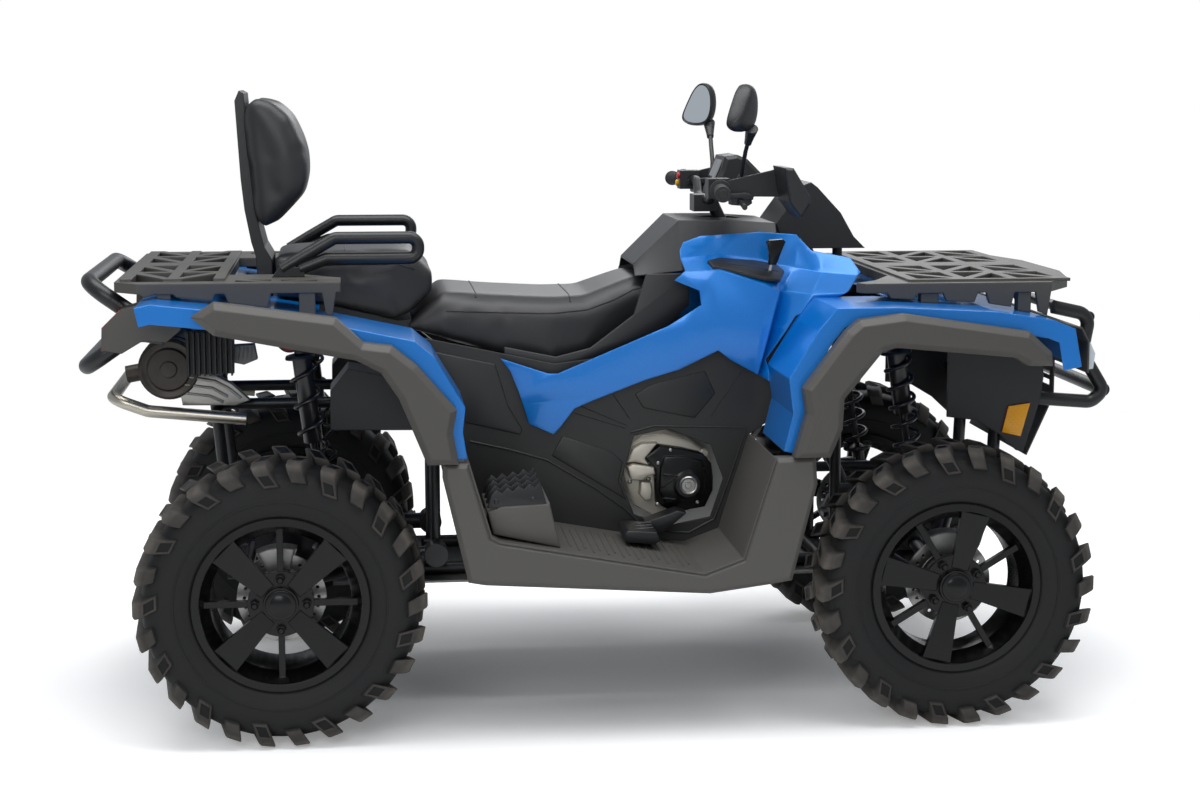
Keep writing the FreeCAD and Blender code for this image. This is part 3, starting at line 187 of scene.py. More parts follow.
blue_lacquer, tree, shader, spots = new_finish("metallic_blue_lacquer", "#006ec0", 0.3, 0.3)
flakes = add_node(tree, "ShaderNodeTexVoronoi", {"Scale": 900}, {"Vector": spots})
glint = add_node(tree, "ShaderNodeMapRange", {"To Min": 0.8, "To Max": 1.25},
                 {"Value": flakes.outputs["Distance"]})
tone = add_node(tree, "ShaderNodeMix", {"data_type": "RGBA", "blend_type": "MULTIPLY", 0: 1.0, 6: srgb("#006ec0")},
                {7: glint.outputs["Result"]})
tree.links.new(tone.outputs[2], shader.inputs["Base Color"])
shader.inputs["Coat Weight"].default_value = 0.4
shader.inputs["Coat Roughness"].default_value = 0.05
soften(tree, shader, 0.004)
dress(["side_panels", "front_body", "rear_body"], blue_lacquer)


def mould_edges(names, width):
    """Rounds the edges of solid nodes with modifiers, and leaves their meshes as they are."""
    for name in names:
        merge = nodes[name].modifiers.new("merge", "WELD")
        merge.merge_threshold = 0.00002
        flatten = nodes[name].modifiers.new("flatten", "DECIMATE")
        flatten.decimate_type = "DISSOLVE"
        flatten.angle_limit = math.radians(1)
        edge = nodes[name].modifiers.new("edge", "BEVEL")
        edge.limit_method = "ANGLE"
        edge.angle_limit = math.radians(30)
        edge.width = width
        edge.segments = 2
        edge.harden_normals = True


mould_edges(["side_panels", "front_body", "rear_body"], 0.0015)

# Flares and racks: moulded polypropylene with a fine spark-eroded grain, dark grey and satin. The flares are
# riveted to the body's edge, and the racks bolted to the frame's posts
grained_plastic, tree, shader, spots = new_finish("grained_polypropylene", "#42403c", 0.46)
grain = add_node(tree, "ShaderNodeTexNoise", {"Scale": 900, "Detail": 2}, {"Vector": spots})
smeared(tree, shader, spots, 6, 4, 0.42, 0.58)
soften(tree, shader, 0.005, grain.outputs["Fac"], 0.0003)
dress(["front_flares", "rear_flares", "front_rack", "rear_rack", "front_fascia", "tail_lamps"], grained_plastic)


# Footwells: trays of the same moulded plastic in a lighter grey, scuffed by boots, screwed to the side panels
# and the flares
scuffed_plastic = grained("scuffed_grey_polypropylene", "#484642", 0.5, 0, 900, 2, 0.005, 0.0003)
dress(["footwells"], scuffed_plastic)
mould_edges(["front_flares", "rear_flares", "footwells"], 0.0015)
mould_edges(["front_rack", "rear_rack"], 0.003)

# Inner covers, console and controls: injection-moulded polypropylene in satin black, with a very fine grain
# left by the mould
black_plastic = grained("black_polypropylene", "#17181a", 0.42, 0, 1100, 2, 0.004, 0.0002)
dress(["console", "front_cowl", "tool_boxes", "splash_guards", "instrument_pod", "hand_guards",
       "mirrors", "backrest_frame", "bar_controls"], black_plastic)

# Lower side panels: the same moulding in a warm near-black, snapped onto the frame over the engine's sides
panel_plastic = grained("dark_grey_polypropylene", "#1d1d1b", 0.44, 0, 1000, 2, 0.004, 0.0002)
dress(["lower_panels"], panel_plastic)

# Seat vinyl: black marine grade, embossed with a leather-like cell pattern and stretched over moulded foam
seat_vinyl, tree, shader, spots = new_finish("black_marine_vinyl", "#1d1d1f", 0.42)
pores = add_node(tree, "ShaderNodeTexVoronoi", {"Scale": 450, "feature": "DISTANCE_TO_EDGE"}, {"Vector": spots})
soften(tree, shader, 0.012, pores.outputs["Distance"], 0.0004, 0.5)
dress(["driver_seat", "passenger_seat", "backrest_pad"], seat_vinyl)

# Steelwork: welded tube and plate of the frame, bumpers and arms, in a satin black powder coat with its faint
# orange peel
powder_coat = grained("black_powder_coat", "#121315", 0.36, 0, 420, 1, 0.003, 0.0002)
dress(["frame", "frame_struts", "frame_posts", "front_bumper", "rear_bumper", "grab_handles", "suspension_arms",
       "shocks", "handlebar", "knuckle_right", "knuckle_left", "regulator"], powder_coat)

# Bare metals: sand-cast aluminium for the engine, drawn aluminium tube for the tail hoop, oiled steel for the
# drive line and the steering rods
cast_aluminium = grained("cast_aluminium", "#8c8c8a", 0.5, 0.9, 700, 3, 0.004, 0.0003)
dress(["engine", "engine_covers", "skid_plate"], cast_aluminium)
bare_aluminium = new_finish("drawn_aluminium_tube", "#b3aea2", 0.34, 1.0)[0]
dress(["hitch_tube"], bare_aluminium)
oiled_steel = new_finish("oiled_steel", "#515153", 0.4, 1.0)[0]
dress(["drive_line", "tie_rod_right", "tie_rod_left"], oiled_steel)

# Lamps, reflectors, mirrors and grips: clear and red mouldings, silvered glass and soft rubber, each pressed or
# clipped into its housing
clear_lens = new_finish("clear_polycarbonate", "#c9d2d8", 0.08)[0]
dress(["headlamps"], clear_lens)
red_lens = new_finish("red_acrylic", "#a20d14", 0.15)[0]
dress(["reflectors"], red_lens)
silvered_glass = new_finish("silvered_glass", "#dfe4e8", 0.03, 1.0)[0]
dress(["mirror_glass"], silvered_glass)
grip_rubber = new_finish("soft_grip_rubber", "#161617", 0.7)[0]
dress(["grips"], grip_rubber)

# Tyres: moulded rubber carcasses with a row of slanted lugs over each shoulder. The lug tops are scuffed dusty
# brown by the ground, the lugs' outer sides take the same dust colour as a painted highlight, the recessed pads on
# the lugs are a darker black as painted shade, the smooth sidewalls stay black, and a fine mould rib runs round
# each sidewall
def finished(bm, name, finish, sharp=30, body="chassis"):
    """Makes a piece of a bmesh: mended, shaded, dressed and set on its body."""
    bmesh.ops.remove_doubles(bm, verts=bm.verts, dist=0.00001)
    bmesh.ops.recalc_face_normals(bm, faces=bm.faces)
    mesh = bpy.data.meshes.new(name)
    bm.to_mesh(mesh)
    bm.free()
    mesh.shade_smooth()
    mesh.set_sharp_from_angle(angle=math.radians(sharp))
    mesh.materials.append(finish)
    piece = bpy.data.objects.new(name, mesh)
    scene.collection.objects.link(piece)
    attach(piece, body)
    return piece


def absorb(bm, part):
    """Adds the shape of another bmesh, and frees that one."""
    mesh = bpy.data.meshes.new("part")
    part.to_mesh(mesh)
    part.free()
    bm.from_mesh(mesh)
    bpy.data.meshes.remove(mesh)


def plate(bm, corners, move, edge=0):
    """Plate pushed out from a flat outline, the rim of its far face bevelled."""
    face = bm.faces.new([bm.verts.new(corner) for corner in corners])
    pushed = bmesh.ops.extrude_face_region(bm, geom=[face])["geom"]
    tips = [v for v in pushed if isinstance(v, bmesh.types.BMVert)]
    bmesh.ops.translate(bm, vec=move, verts=tips)
    if edge:
        rim = [e for e in {e for v in tips for e in v.link_edges} if e.verts[0] in tips and e.verts[1] in tips]
        bmesh.ops.bevel(bm, geom=rim, offset=edge, segments=2, affect="EDGES", profile=0.5, material=-1)


def outline_loop(bm, points, closed=True):
    """Vertices joined by edges, in order."""
    verts = [bm.verts.new(point) for point in points]
    edges = [bm.edges.new(pair) for pair in zip(verts, verts[1:] + verts[:1] if closed else verts[1:])]
    return verts + edges


def turned(bm, points, steps, axis=(0, 1, 0), closed=True):
    """Spins a line of points once round an axis through the origin."""
    geom = outline_loop(bm, points, closed)
    bmesh.ops.spin(bm, geom=geom, cent=(0, 0, 0), axis=axis, angle=2 * math.pi, steps=steps, use_merge=True)


AXLE_X = 0.7495
HUB_Z = 0.318
LUGS = 26
LUG_WIDTH = 0.034
LUG_SLANT = 0.5
# end: (x of the axle, y of the wheel's middle, half tyre width, half rim width, turn of the spokes)
WHEELS = {"front": (AXLE_X, 0.4845, 0.1015, 0.076, 31), "rear": (-AXLE_X, 0.459, 0.127, 0.1015, 0)}
WHEEL_SIDES = {"right": -1, "left": 1}
CORNERS = [("%s_%s" % (end, side), side, sign) + WHEELS[end]
           for end in WHEELS for side, sign in WHEEL_SIDES.items()]

tyre_rubber, tree, shader, spots = new_finish("moulded_tyre_rubber", "#1b1b1b", 0.62)
shader.inputs["Specular IOR Level"].default_value = 0.25
# Mask of the dust colour: real dust on the lug tops, and a painted highlight on the lugs' outer sides
tip = add_node(tree, "ShaderNodeAttribute", {"attribute_name": "lug_dust_and_highlight"})
patches = add_node(tree, "ShaderNodeTexNoise", {"Scale": 28, "Detail": 5}, {"Vector": spots})
dust_and_highlight_amount = add_node(tree, "ShaderNodeMath", {"operation": "MULTIPLY"},
                 {0: tip.outputs["Fac"], 1: patches.outputs["Fac"]})
dust_and_highlight_colour = add_node(tree, "ShaderNodeMix", {"data_type": "RGBA", 6: srgb("#1b1b1b"), 7: srgb("#6f6962")},
                {0: dust_and_highlight_amount.outputs[0]})
tree.links.new(dust_and_highlight_colour.outputs[2], shader.inputs["Base Color"])
grit = add_node(tree, "ShaderNodeTexNoise", {"Scale": 500, "Detail": 3}, {"Vector": spots})
soften(tree, shader, 0.0015, grit.outputs["Fac"], 0.0003)

# Darker black for the recessed pads on the lugs: painted shade in the recesses
pad_shade_rubber = grained("black_rubber_painted_recess_shade", "#0a0a0a", 0.5, 0, 500, 3, 0.0015, 0.0003)
pad_shade_rubber.node_tree.nodes["Principled BSDF"].inputs["Specular IOR Level"].default_value = 0.25

for corner, side, sign, wheel_x, wheel_y, half, seat, spoke_turn in CORNERS:
    bm = bmesh.new()
    flank = [(seat - 0.001, 0.1815), (seat - 0.001, 0.193), (seat + 0.007, 0.2), (half - 0.013, 0.218),
             (half - 0.0095, 0.2275), (half - 0.0075, 0.2285), (half - 0.0075, 0.2315),
             (half - 0.0085, 0.2325), (half - 0.006, 0.25), (half - 0.01, 0.274),
             (half - 0.022, 0.29), (half - 0.045, 0.299)]
    turned(bm, [(0, -y, r) for y, r in flank] + [(0, y, r) for y, r in flank[::-1]], 78)
    slope = 0.02 / (half - 0.034)
    for row, start in ((1, 0), (-1, 0.5)):
        for i in range(LUGS):
            low = 0.258 if i % 2 else 0.271
            lug = bmesh.new()
            section = [(0.01, 0.3148), (half - 0.034, 0.318), (half - 0.01, 0.3115), (half - 0.0005, 0.296),
                       (half - 0.002, low + 0.004), (half - 0.014, low), (half - 0.024, 0.284),
                       (half - 0.048, 0.292), (0.01, 0.297)]
            plate(lug, [(-LUG_WIDTH / 2, y, r) for y, r in section], (LUG_WIDTH, 0, 0))
            bmesh.ops.recalc_face_normals(lug, faces=lug.faces)
            outer = [e for e in lug.edges if min(v.co.z - 0.0001 * (v.co.y > half - 0.012) for v in e.verts)
                     > 0.3 or min(v.co.y for v in e.verts) > half - 0.011]
            bmesh.ops.bevel(lug, geom=outer, offset=0.0025, segments=1, affect="EDGES", profile=0.5,
                            material=-1)
            pads = [f for f in lug.faces if f.calc_area() > 0.0006 and
                    (f.normal.y > 0.9 or f.normal.z > 0.9)]
            bmesh.ops.inset_individual(lug, faces=pads, thickness=0.004, depth=0)
            bmesh.ops.inset_individual(lug, faces=pads, thickness=0.0012, depth=-0.0022)
            # The recessed pads take the second, darker black: painted shade
            for pad in pads:
                pad.material_index = 1
            lean = Matrix(((1, -slope, -LUG_SLANT, slope * (half - 0.034) + LUG_SLANT * 0.312), (0, 1, 0, 0),
                           (0, 0, 1, 0), (0, 0, 0, 1)))
            flip = Matrix.Scale(row, 4, (0, 1, 0))
            around = Matrix.Rotation(2 * math.pi * (i + start) / LUGS, 4, "Y")
            bmesh.ops.transform(lug, matrix=around @ flip @ lean, verts=lug.verts)
            absorb(bm, lug)
    bmesh.ops.translate(bm, vec=(wheel_x, sign * wheel_y, HUB_Z), verts=bm.verts)
    tyre = finished(bm, "lugged_tyre_" + corner, tyre_rubber, 35, "wheel_" + corner)
    dust_and_highlight = tyre.data.attributes.new("lug_dust_and_highlight", "FLOAT", "POINT")
    for vertex in tyre.data.vertices:
        out = math.hypot(vertex.co.x - wheel_x, vertex.co.z - HUB_Z)
        # The outer sides of the lugs take the dust colour at 0.4 as a painted highlight
        proud_side_highlight = 0.4 if abs(abs(vertex.co.y) - wheel_y) > half - 0.004 else 0.0
        dust_and_highlight.data[vertex.index].value = max(proud_side_highlight, min(1.0, (out - 0.297) / 0.014))
    tyre.data.materials.append(pad_shade_rubber)
    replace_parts(tyre, "tyre_" + corner)

# Small details share these helpers: a plate cut to a side outline, round beads along lines, a turned piece set on
# a line, and the moves to a wheel and to both sides
def slab(bm, outline, start, stop, edge=0):
    """Plate with a side outline, from one y to another, the rim of its far face bevelled."""
    plate(bm, [(x, start, z) for x, z in outline], (0, stop - start, 0), edge)


def beads(bm, lines, radius):
    """Round beads along lines of points."""
    for points in lines:
        line = bpy.data.curves.new("bead", "CURVE")
        line.dimensions = "3D"
        line.bevel_depth = radius
        line.bevel_resolution = 1
        line.use_fill_caps = True
        run = line.splines.new("POLY")
        run.points.add(len(points) - 1)
        for spot, point in zip(run.points, points):
            spot.co = (*point, 1)
        holder = bpy.data.objects.new("bead", line)
        mesh = bpy.data.meshes.new_from_object(holder)
        bm.from_mesh(mesh)
        bpy.data.objects.remove(holder)
        bpy.data.meshes.remove(mesh)


def on_plane(y, *lines):
    """Lines of (x, z) points set on a plane across y."""
    return [[(x, y, z) for x, z in line] for line in lines]


def turned_on(bm, points, steps, base, tip):
    """Turned piece of (height, radius) points, standing on a base and pointing to a tip."""
    part = bmesh.new()
    turned(part, [(r, 0, h) for h, r in points], steps, axis=(0, 0, 1), closed=False)
    base, tip = Vector(base), Vector(tip)
    aim = (tip - base).to_track_quat("Z", "Y").to_matrix().to_4x4()
    bmesh.ops.transform(part, matrix=Matrix.Translation(base) @ aim, verts=part.verts)
    absorb(bm, part)


def set_at_wheel(bm, wheel_x, wheel_y, sign):
    """Moves a piece drawn round the origin for the left side to its wheel."""
    bmesh.ops.scale(bm, vec=(1, sign, 1), verts=bm.verts)
    bmesh.ops.translate(bm, vec=(wheel_x, sign * wheel_y, HUB_Z), verts=bm.verts)


def both_sides(bm):
    """Adds the mirror image across the middle plane."""
    bmesh.ops.mirror(bm, geom=bm.verts[:] + bm.edges[:] + bm.faces[:], axis="Y", merge_dist=0)


# Wheels: cast alloy in gloss black enamel, each held by four tapered nuts of blacked steel round a domed cap that
# snaps into the hub
black_enamel, tree, shader, spots = new_finish("gloss_black_enamel", "#060606", 0.22)
smeared(tree, shader, spots, 9, 4, 0.16, 0.32)
shader.inputs["Specular IOR Level"].default_value = 0.3
soften(tree, shader, 0.003)
ground_steel = grained("ground_steel", "#8f8f8c", 0.3, 1.0, 220, 2, 0.001, 0.0002)
blacked_steel = grained("blacked_steel", "#1c1c1d", 0.34, 0.6, 300, 2, 0.0006, 0.0001)
plated_steel = grained("zinc_plated_steel", "#9c9c98", 0.3, 1.0, 300, 2, 0.0006, 0.0001)

BOLT_CIRCLE = 0.056
HUB_RECESS = 0.012
for corner, side, sign, wheel_x, wheel_y, half, seat, spoke_turn in CORNERS:
    dress(["rim_" + corner], black_enamel)
    mould_edges(["rim_" + corner], 0.0015)
    hub_face = seat - HUB_RECESS
    bm = bmesh.new()
    for quarter in range(4):
        spin = Matrix.Rotation(math.radians(90 * quarter - spoke_turn), 4, "Y")
        for sides, base, top, depth, out in ((6, 0.0105, 0.0105, 0.014, 0.007),
                                             (12, 0.0085, 0.005, 0.007, 0.0172)):
            stand = Matrix.Translation((BOLT_CIRCLE, hub_face + out, 0)) @ Matrix.Rotation(-math.pi / 2, 4, "X")
            bmesh.ops.create_cone(bm, cap_ends=True, segments=sides, radius1=base, radius2=top, depth=depth,
                                  matrix=spin @ stand)
    set_at_wheel(bm, wheel_x, wheel_y, sign)
    finished(bm, "wheel_nuts_" + corner, blacked_steel, 35, "wheel_" + corner)
    bm = bmesh.new()
    crown = hub_face + 0.0121
    turned(bm, [(0, crown, 0.034), (0, crown + 0.003, 0.033), (0, crown + 0.0045, 0.028),
                (0, crown + 0.004, 0.024), (0, crown + 0.0065, 0.02), (0, crown + 0.0085, 0)], 32,
           closed=False)
    set_at_wheel(bm, wheel_x, wheel_y, sign)
    finished(bm, "wheel_cap_" + corner, black_enamel, 35, "wheel_" + corner)

# Brakes: drilled discs of ground steel on turned hubs, each gripped over its upper edge by a cast aluminium
# caliper with two pistons
DISC_RADIUS = 0.098
DISC_WALL = 0.005
HUB_RADIUS = 0.046
HUB_DEPTH = 0.056
HUB_INSET = 0.0383
DISC_STEP = 0.014
PISTON_CIRCLE = 0.086


def drilled_ring(bm, inner, outer, middle_y, holes, hole):
    """Flat ring with round holes, as thick as the disc."""
    ring = bmesh.new()
    middle = (inner + outer) / 2
    half_step = math.pi / holes
    edge = [(inner, -1), (inner, 0), (inner, 1), (middle, 1), (outer, 1), (outer, 0), (outer, -1), (middle, -1)]
    outline_loop(ring, [(r * math.cos(s * half_step), 0, r * math.sin(s * half_step)) for r, s in edge])
    outline_loop(ring, [(middle + hole * math.cos(math.radians(a)), 0, hole * math.sin(math.radians(a)))
                        for a in (225, 180, 135, 90, 45, 0, -45, -90)])
    bmesh.ops.bridge_loops(ring, edges=ring.edges[:])
    bmesh.ops.spin(ring, geom=ring.verts[:] + ring.edges[:] + ring.faces[:], cent=(0, 0, 0), axis=(0, 1, 0),
                   angle=2 * math.pi * (holes - 1) / holes, steps=holes - 1, use_duplicate=True)
    bmesh.ops.remove_doubles(ring, verts=ring.verts, dist=0.00002)
    bmesh.ops.recalc_face_normals(ring, faces=ring.faces)
    bmesh.ops.solidify(ring, geom=ring.faces[:], thickness=DISC_WALL)
    low = min(v.co.y for v in ring.verts)
    bmesh.ops.translate(ring, vec=(0, middle_y - DISC_WALL / 2 - low, 0), verts=ring.verts)
    absorb(bm, ring)


def arc_outline(start, stop, inner, outer):
    """Side outline between two radii and two angles."""
    steps = [math.radians(start + (stop - start) * i / 8) for i in range(9)]
    return ([(outer * math.cos(a), outer * math.sin(a)) for a in steps]
            + [(inner * math.cos(a), inner * math.sin(a)) for a in steps[::-1]])


for corner, side, sign, wheel_x, wheel_y, half, seat, spoke_turn in CORNERS:
    hub_out = seat - HUB_INSET
    disc_y = hub_out - HUB_DEPTH + DISC_STEP + DISC_WALL / 2
    bm = bmesh.new()
    turned(bm, [(0, hub_out - HUB_DEPTH, 0.0193), (0, hub_out, 0.0193), (0, hub_out, HUB_RADIUS - 0.003),
                (0, hub_out - 0.003, HUB_RADIUS), (0, disc_y + 0.0045, HUB_RADIUS),
                (0, disc_y + 0.0028, 0.05), (0, disc_y + 0.0028, 0.066), (0, disc_y - 0.0028, 0.066),
                (0, disc_y - 0.0028, 0.04), (0, hub_out - HUB_DEPTH, 0.038)], 48)
    drilled_ring(bm, 0.064, DISC_RADIUS, disc_y, 24, 0.0042)
    set_at_wheel(bm, wheel_x, wheel_y, sign)
    disc = finished(bm, "drilled_disc_" + corner, ground_steel, 30, "wheel_" + corner)
    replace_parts(disc, "disc_" + corner)
    bm = bmesh.new()
    gap = DISC_WALL / 2 + 0.002
    slab(bm, arc_outline(72, 118, 0.062, 0.114), disc_y - gap, disc_y - gap - 0.03, 0.004)
    slab(bm, arc_outline(74, 116, 0.064, 0.114), disc_y + gap, disc_y + gap + 0.014, 0.004)
    slab(bm, arc_outline(72, 118, 0.1015, 0.115), disc_y - gap - 0.026, disc_y + gap + 0.01)
    for angle in (84, 106):
        x, z = PISTON_CIRCLE * math.cos(math.radians(angle)), PISTON_CIRCLE * math.sin(math.radians(angle))
        turned_on(bm, [(0, 0), (0, 0.016), (0.004, 0.015), (0.006, 0.01), (0.0065, 0)], 20,
                  (x, disc_y - gap - 0.03, z), (x, disc_y - 1, z))
    set_at_wheel(bm, wheel_x, wheel_y, sign)
    finished(bm, "caliper_" + corner, cast_aluminium, 30,
             "knuckle_" + side if wheel_x > 0 else "chassis")

# Dampers: gloss black steel bodies with a round-wire coil spring round each, bolted up by the rubber bushes in
# their two eyes
spring_steel = grained("powder_coated_spring_steel", "#19191b", 0.28, 0, 350, 2, 0.001, 0.0001)
chromed_steel = grained("chromed_steel", "#c9c9c9", 0.12, 1.0, 60, 2, 0.001, 0.00005)
WIRE = 0.005
COIL = 0.029
TURNS = 7
EYE = 0.0303
SHOCKS = {"front": ((0.66, -0.3, 0.862), (0.7245, -0.28, 0.434)),
          "rear": ((-0.706, -0.285, 0.868), (-0.642, -0.271, 0.326))}
damper_pieces = []
for end, (top, foot) in SHOCKS.items():
    for side, sign in WHEEL_SIDES.items():
        head = Vector((top[0], -sign * top[1], top[2]))
        base = Vector((foot[0], -sign * foot[1], foot[2]))
        down = (base - head).normalized()
        length = (base - head).length - 2 * EYE
        line_up = (Matrix.Translation(head + down * EYE)
                   @ down.to_track_quat("Z", "Y").to_matrix().to_4x4())
        first, last = 0.014, length - 0.034
        bm = bmesh.new()
        ring = bmesh.ops.create_circle(bm, cap_ends=False, segments=10, radius=WIRE,
                                       matrix=Matrix.Translation((COIL, 0, first + WIRE))
                                       @ Matrix.Rotation(math.pi / 2, 4, "X"))["verts"]
        steps = TURNS * 26
        wire_edges = list({e for v in ring for e in v.link_edges})
        bmesh.ops.spin(bm, geom=ring + wire_edges, cent=(0, 0, 0), axis=(0, 0, 1), angle=2 * math.pi * TURNS,
                       steps=steps, dvec=(0, 0, (last - first - 2 * WIRE) / steps))
        bmesh.ops.holes_fill(bm, edges=[e for e in bm.edges if e.is_boundary])
        bmesh.ops.transform(bm, matrix=line_up, verts=bm.verts)
        spring = finished(bm, "coil_spring_%s_%s" % (end, side), spring_steel, 60)
        bm = bmesh.new()
        waist = first + 0.45 * (last - first)
        turned_on(bm, [(0, 0), (0, 0.0152), (first - 0.01, 0.0152), (first - 0.006, 0.035), (first - 0.002, 0.037),
                       (first + 0.002, 0.037), (first + 0.004, 0.022), (waist - 0.003, 0.022), (waist, 0.0195),
                       (waist, 0.008), (last - 0.01, 0.008), (last - 0.004, 0.021), (last - 0.001, 0.036),
                       (last + 0.003, 0.037), (last + 0.007, 0.0335), (last + 0.012, 0.017), (length, 0.0152),
                       (length, 0)], 28, head + down * EYE, base)
        body = finished(bm, "damper_%s_%s" % (end, side), spring_steel, 40)
        damper_pieces += [spring, body]
for piece in damper_pieces:
    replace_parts(piece, "shocks")

# Crankcase covers: a sand-cast aluminium housing with the black clutch cover screwed on, and the threaded
# filler plug in its middle
SCREW = [(0, 0), (0, 0.0055), (0.0022, 0.005), (0.0038, 0.003), (0.0038, 0.002), (0.0022, 0.0018), (0.0022, 0)]
bright_casting = grained("sand_cast_aluminium", "#c4beb0", 0.42, 0.55, 600, 3, 0.003, 0.0004)
bm = bmesh.new()
slab(bm, [(0.036, 0.53), (0.052, 0.592), (0.09, 0.618), (0.14, 0.622), (0.2, 0.602), (0.246, 0.566),
          (0.255, 0.51), (0.232, 0.446), (0.18, 0.424), (0.12, 0.42), (0.066, 0.45)], -0.128, -0.2, 0.008)
slab(bm, [(0.045, 0.556), (0.06, 0.59), (0.082, 0.602), (0.119, 0.602), (0.09, 0.566), (0.1, 0.55),
          (0.066, 0.558)], -0.19, -0.232, 0.006)
slab(bm, [(0.046, 0.549), (0.06, 0.555), (0.11, 0.546), (0.113, 0.529), (0.093, 0.524), (0.083, 0.515),
          (0.056, 0.517)], -0.19, -0.24, 0.007)
slab(bm, [(0.08, 0.512), (0.104, 0.508), (0.108, 0.487), (0.105, 0.467), (0.09, 0.464), (0.077, 0.48)],
     -0.19, -0.226, 0.006)
turned_on(bm, [(0, 0), (0, 0.013), (0.018, 0.013), (0.022, 0.01), (0.022, 0)], 20, (0.095, -0.2, 0.488),
          (0.085, -0.24, 0.488))
turned_on(bm, [(0, 0), (0, 0.011), (0.016, 0.011), (0.02, 0.008), (0.02, 0)], 20, (0.228, -0.2, 0.57),
          (0.236, -0.24, 0.58))
both_sides(bm)
casting = finished(bm, "crankcase_castings", bright_casting)
bm = bmesh.new()
cover = [(0.088, 0.57), (0.123, 0.597), (0.178, 0.588), (0.226, 0.576), (0.246, 0.552), (0.25, 0.52),
         (0.25, 0.488), (0.231, 0.449), (0.184, 0.441), (0.14, 0.446), (0.116, 0.46), (0.112, 0.54)]
slab(bm, cover, -0.19, -0.236, 0.006)
slab(bm, [(0.124, 0.545), (0.134, 0.572), (0.182, 0.572), (0.222, 0.56), (0.232, 0.52), (0.226, 0.478),
          (0.2, 0.46), (0.136, 0.462), (0.122, 0.49)], -0.23, -0.244, 0.005)
turned_on(bm, [(0, 0), (0, 0.036), (0.004, 0.034), (0.007, 0.029), (0.007, 0)], 40, (0.189, -0.24, 0.504),
          (0.189, -0.26, 0.504))
beads(bm, on_plane(-0.245, [(0.13, 0.53), (0.165, 0.526), (0.128, 0.5)], [(0.128, 0.474), (0.16, 0.47)]), 0.0018)
both_sides(bm)
black_casting = finished(bm, "clutch_covers", black_enamel)
bm = bmesh.new()
turned_on(bm, [(0, 0), (0, 0.0225), (0.005, 0.022), (0.007, 0.0195), (0.006, 0.0165), (0.003, 0.0155),
               (0.003, 0.008), (0.0045, 0.007), (0.0045, 0)], 32, (0.189, -0.2465, 0.504), (0.189, -0.26, 0.504))
for x, z in ((0.119, 0.556), (0.223, 0.54), (0.212, 0.462), (0.118, 0.458), (0.148, 0.586)):
    turned_on(bm, SCREW, 14, (x, -0.2355, z), (x, -0.25, z))
for x, z in ((0.066, 0.586), (0.057, 0.507), (0.101, 0.512)):
    turned_on(bm, SCREW, 14, (x, -0.2, z), (x, -0.25, z))
both_sides(bm)
plugs = finished(bm, "filler_plugs_and_screws", plated_steel, 40)
for piece in (casting, black_casting, plugs):
    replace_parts(piece, "engine_covers")

# Lower side panels: beads and raised fields moulded into the flat wall, and narrow black lines laid along its
# moulded grooves as painted shade in them
PANEL_Y = 0.254
FACE = -PANEL_Y + 0.0005
bm = bmesh.new()
slab(bm, [(-0.132, 0.582), (-0.107, 0.628), (0.008, 0.588), (0.034, 0.563), (0.024, 0.52), (0.042, 0.474)],
     FACE, -PANEL_Y - 0.004, 0.003)
slab(bm, [(0.062, 0.722), (0.081, 0.69), (0.202, 0.664), (0.25, 0.722), (0.225, 0.775), (0.1, 0.745)],
     FACE, -PANEL_Y - 0.003, 0.0025)
slab(bm, [(-0.405, 0.83), (-0.262, 0.798), (-0.232, 0.7), (-0.2, 0.645), (-0.205, 0.632), (-0.33, 0.662)],
     FACE, -PANEL_Y - 0.005, 0.004)
beads(bm, on_plane(-PANEL_Y, [(-0.321, 0.619), (-0.231, 0.598), (-0.144, 0.572), (-0.029, 0.502), (0.04, 0.452),
                              (0.075, 0.416), (0.15, 0.395), (0.19, 0.393), (0.25, 0.424)],
                   [(0.052, 0.633), (0.106, 0.647), (0.325, 0.64), (0.285, 0.52), (0.25, 0.424)]), 0.003)
both_sides(bm)
finished(bm, "panel_relief", panel_plastic)
# Thin black lines along the panel's grooves: painted shade, standing in for the shade inside them
bm = bmesh.new()
beads(bm, on_plane(-PANEL_Y, [(-0.066, 0.697), (0.044, 0.649)], [(-0.077, 0.68), (0.04, 0.643)],
                   [(0.011, 0.722), (0.05, 0.665)], [(0.31, 0.77), (0.24, 0.668)]), 0.0012)
both_sides(bm)
finished(bm, "panel_grooves_painted_shade", black_plastic)

# Foot rests: a moulded block at the back of each footwell with a toothed steel peg on it, and rows of moulded
# ribs across the floor
bm = bmesh.new()
slab(bm, [(-0.288, 0.462), (-0.3, 0.512), (-0.268, 0.524), (-0.163, 0.528), (-0.14, 0.428)], -0.34, -0.556, 0.006)
for i in range(17):
    x = -0.115 + 0.0165 * i
    z = 0.4245 - 0.1786 * (x + 0.12)
    beads(bm, [[(x, -0.3 - 0.03 * (i % 2), z), (x, -0.52 - 0.03 * (i % 2), z)]], 0.0026)
both_sides(bm)
finished(bm, "foot_rest_blocks", scuffed_plastic)
bm = bmesh.new()
for y in (-0.37, -0.43, -0.49, -0.545):
    teeth = [(-0.292 + 0.012 * i, 0.548 + 0.002 * i + 0.011 * (i % 2)) for i in range(10)]
    slab(bm, [(-0.3, 0.52)] + teeth + [(-0.172, 0.534), (-0.168, 0.522)], y, y - 0.006, 0.001)
beads(bm, [[(-0.28, -0.36, 0.534), (-0.28, -0.554, 0.534)], [(-0.2, -0.36, 0.538), (-0.2, -0.554, 0.538)]], 0.005)
both_sides(bm)
finished(bm, "toothed_foot_pegs", powder_coat)

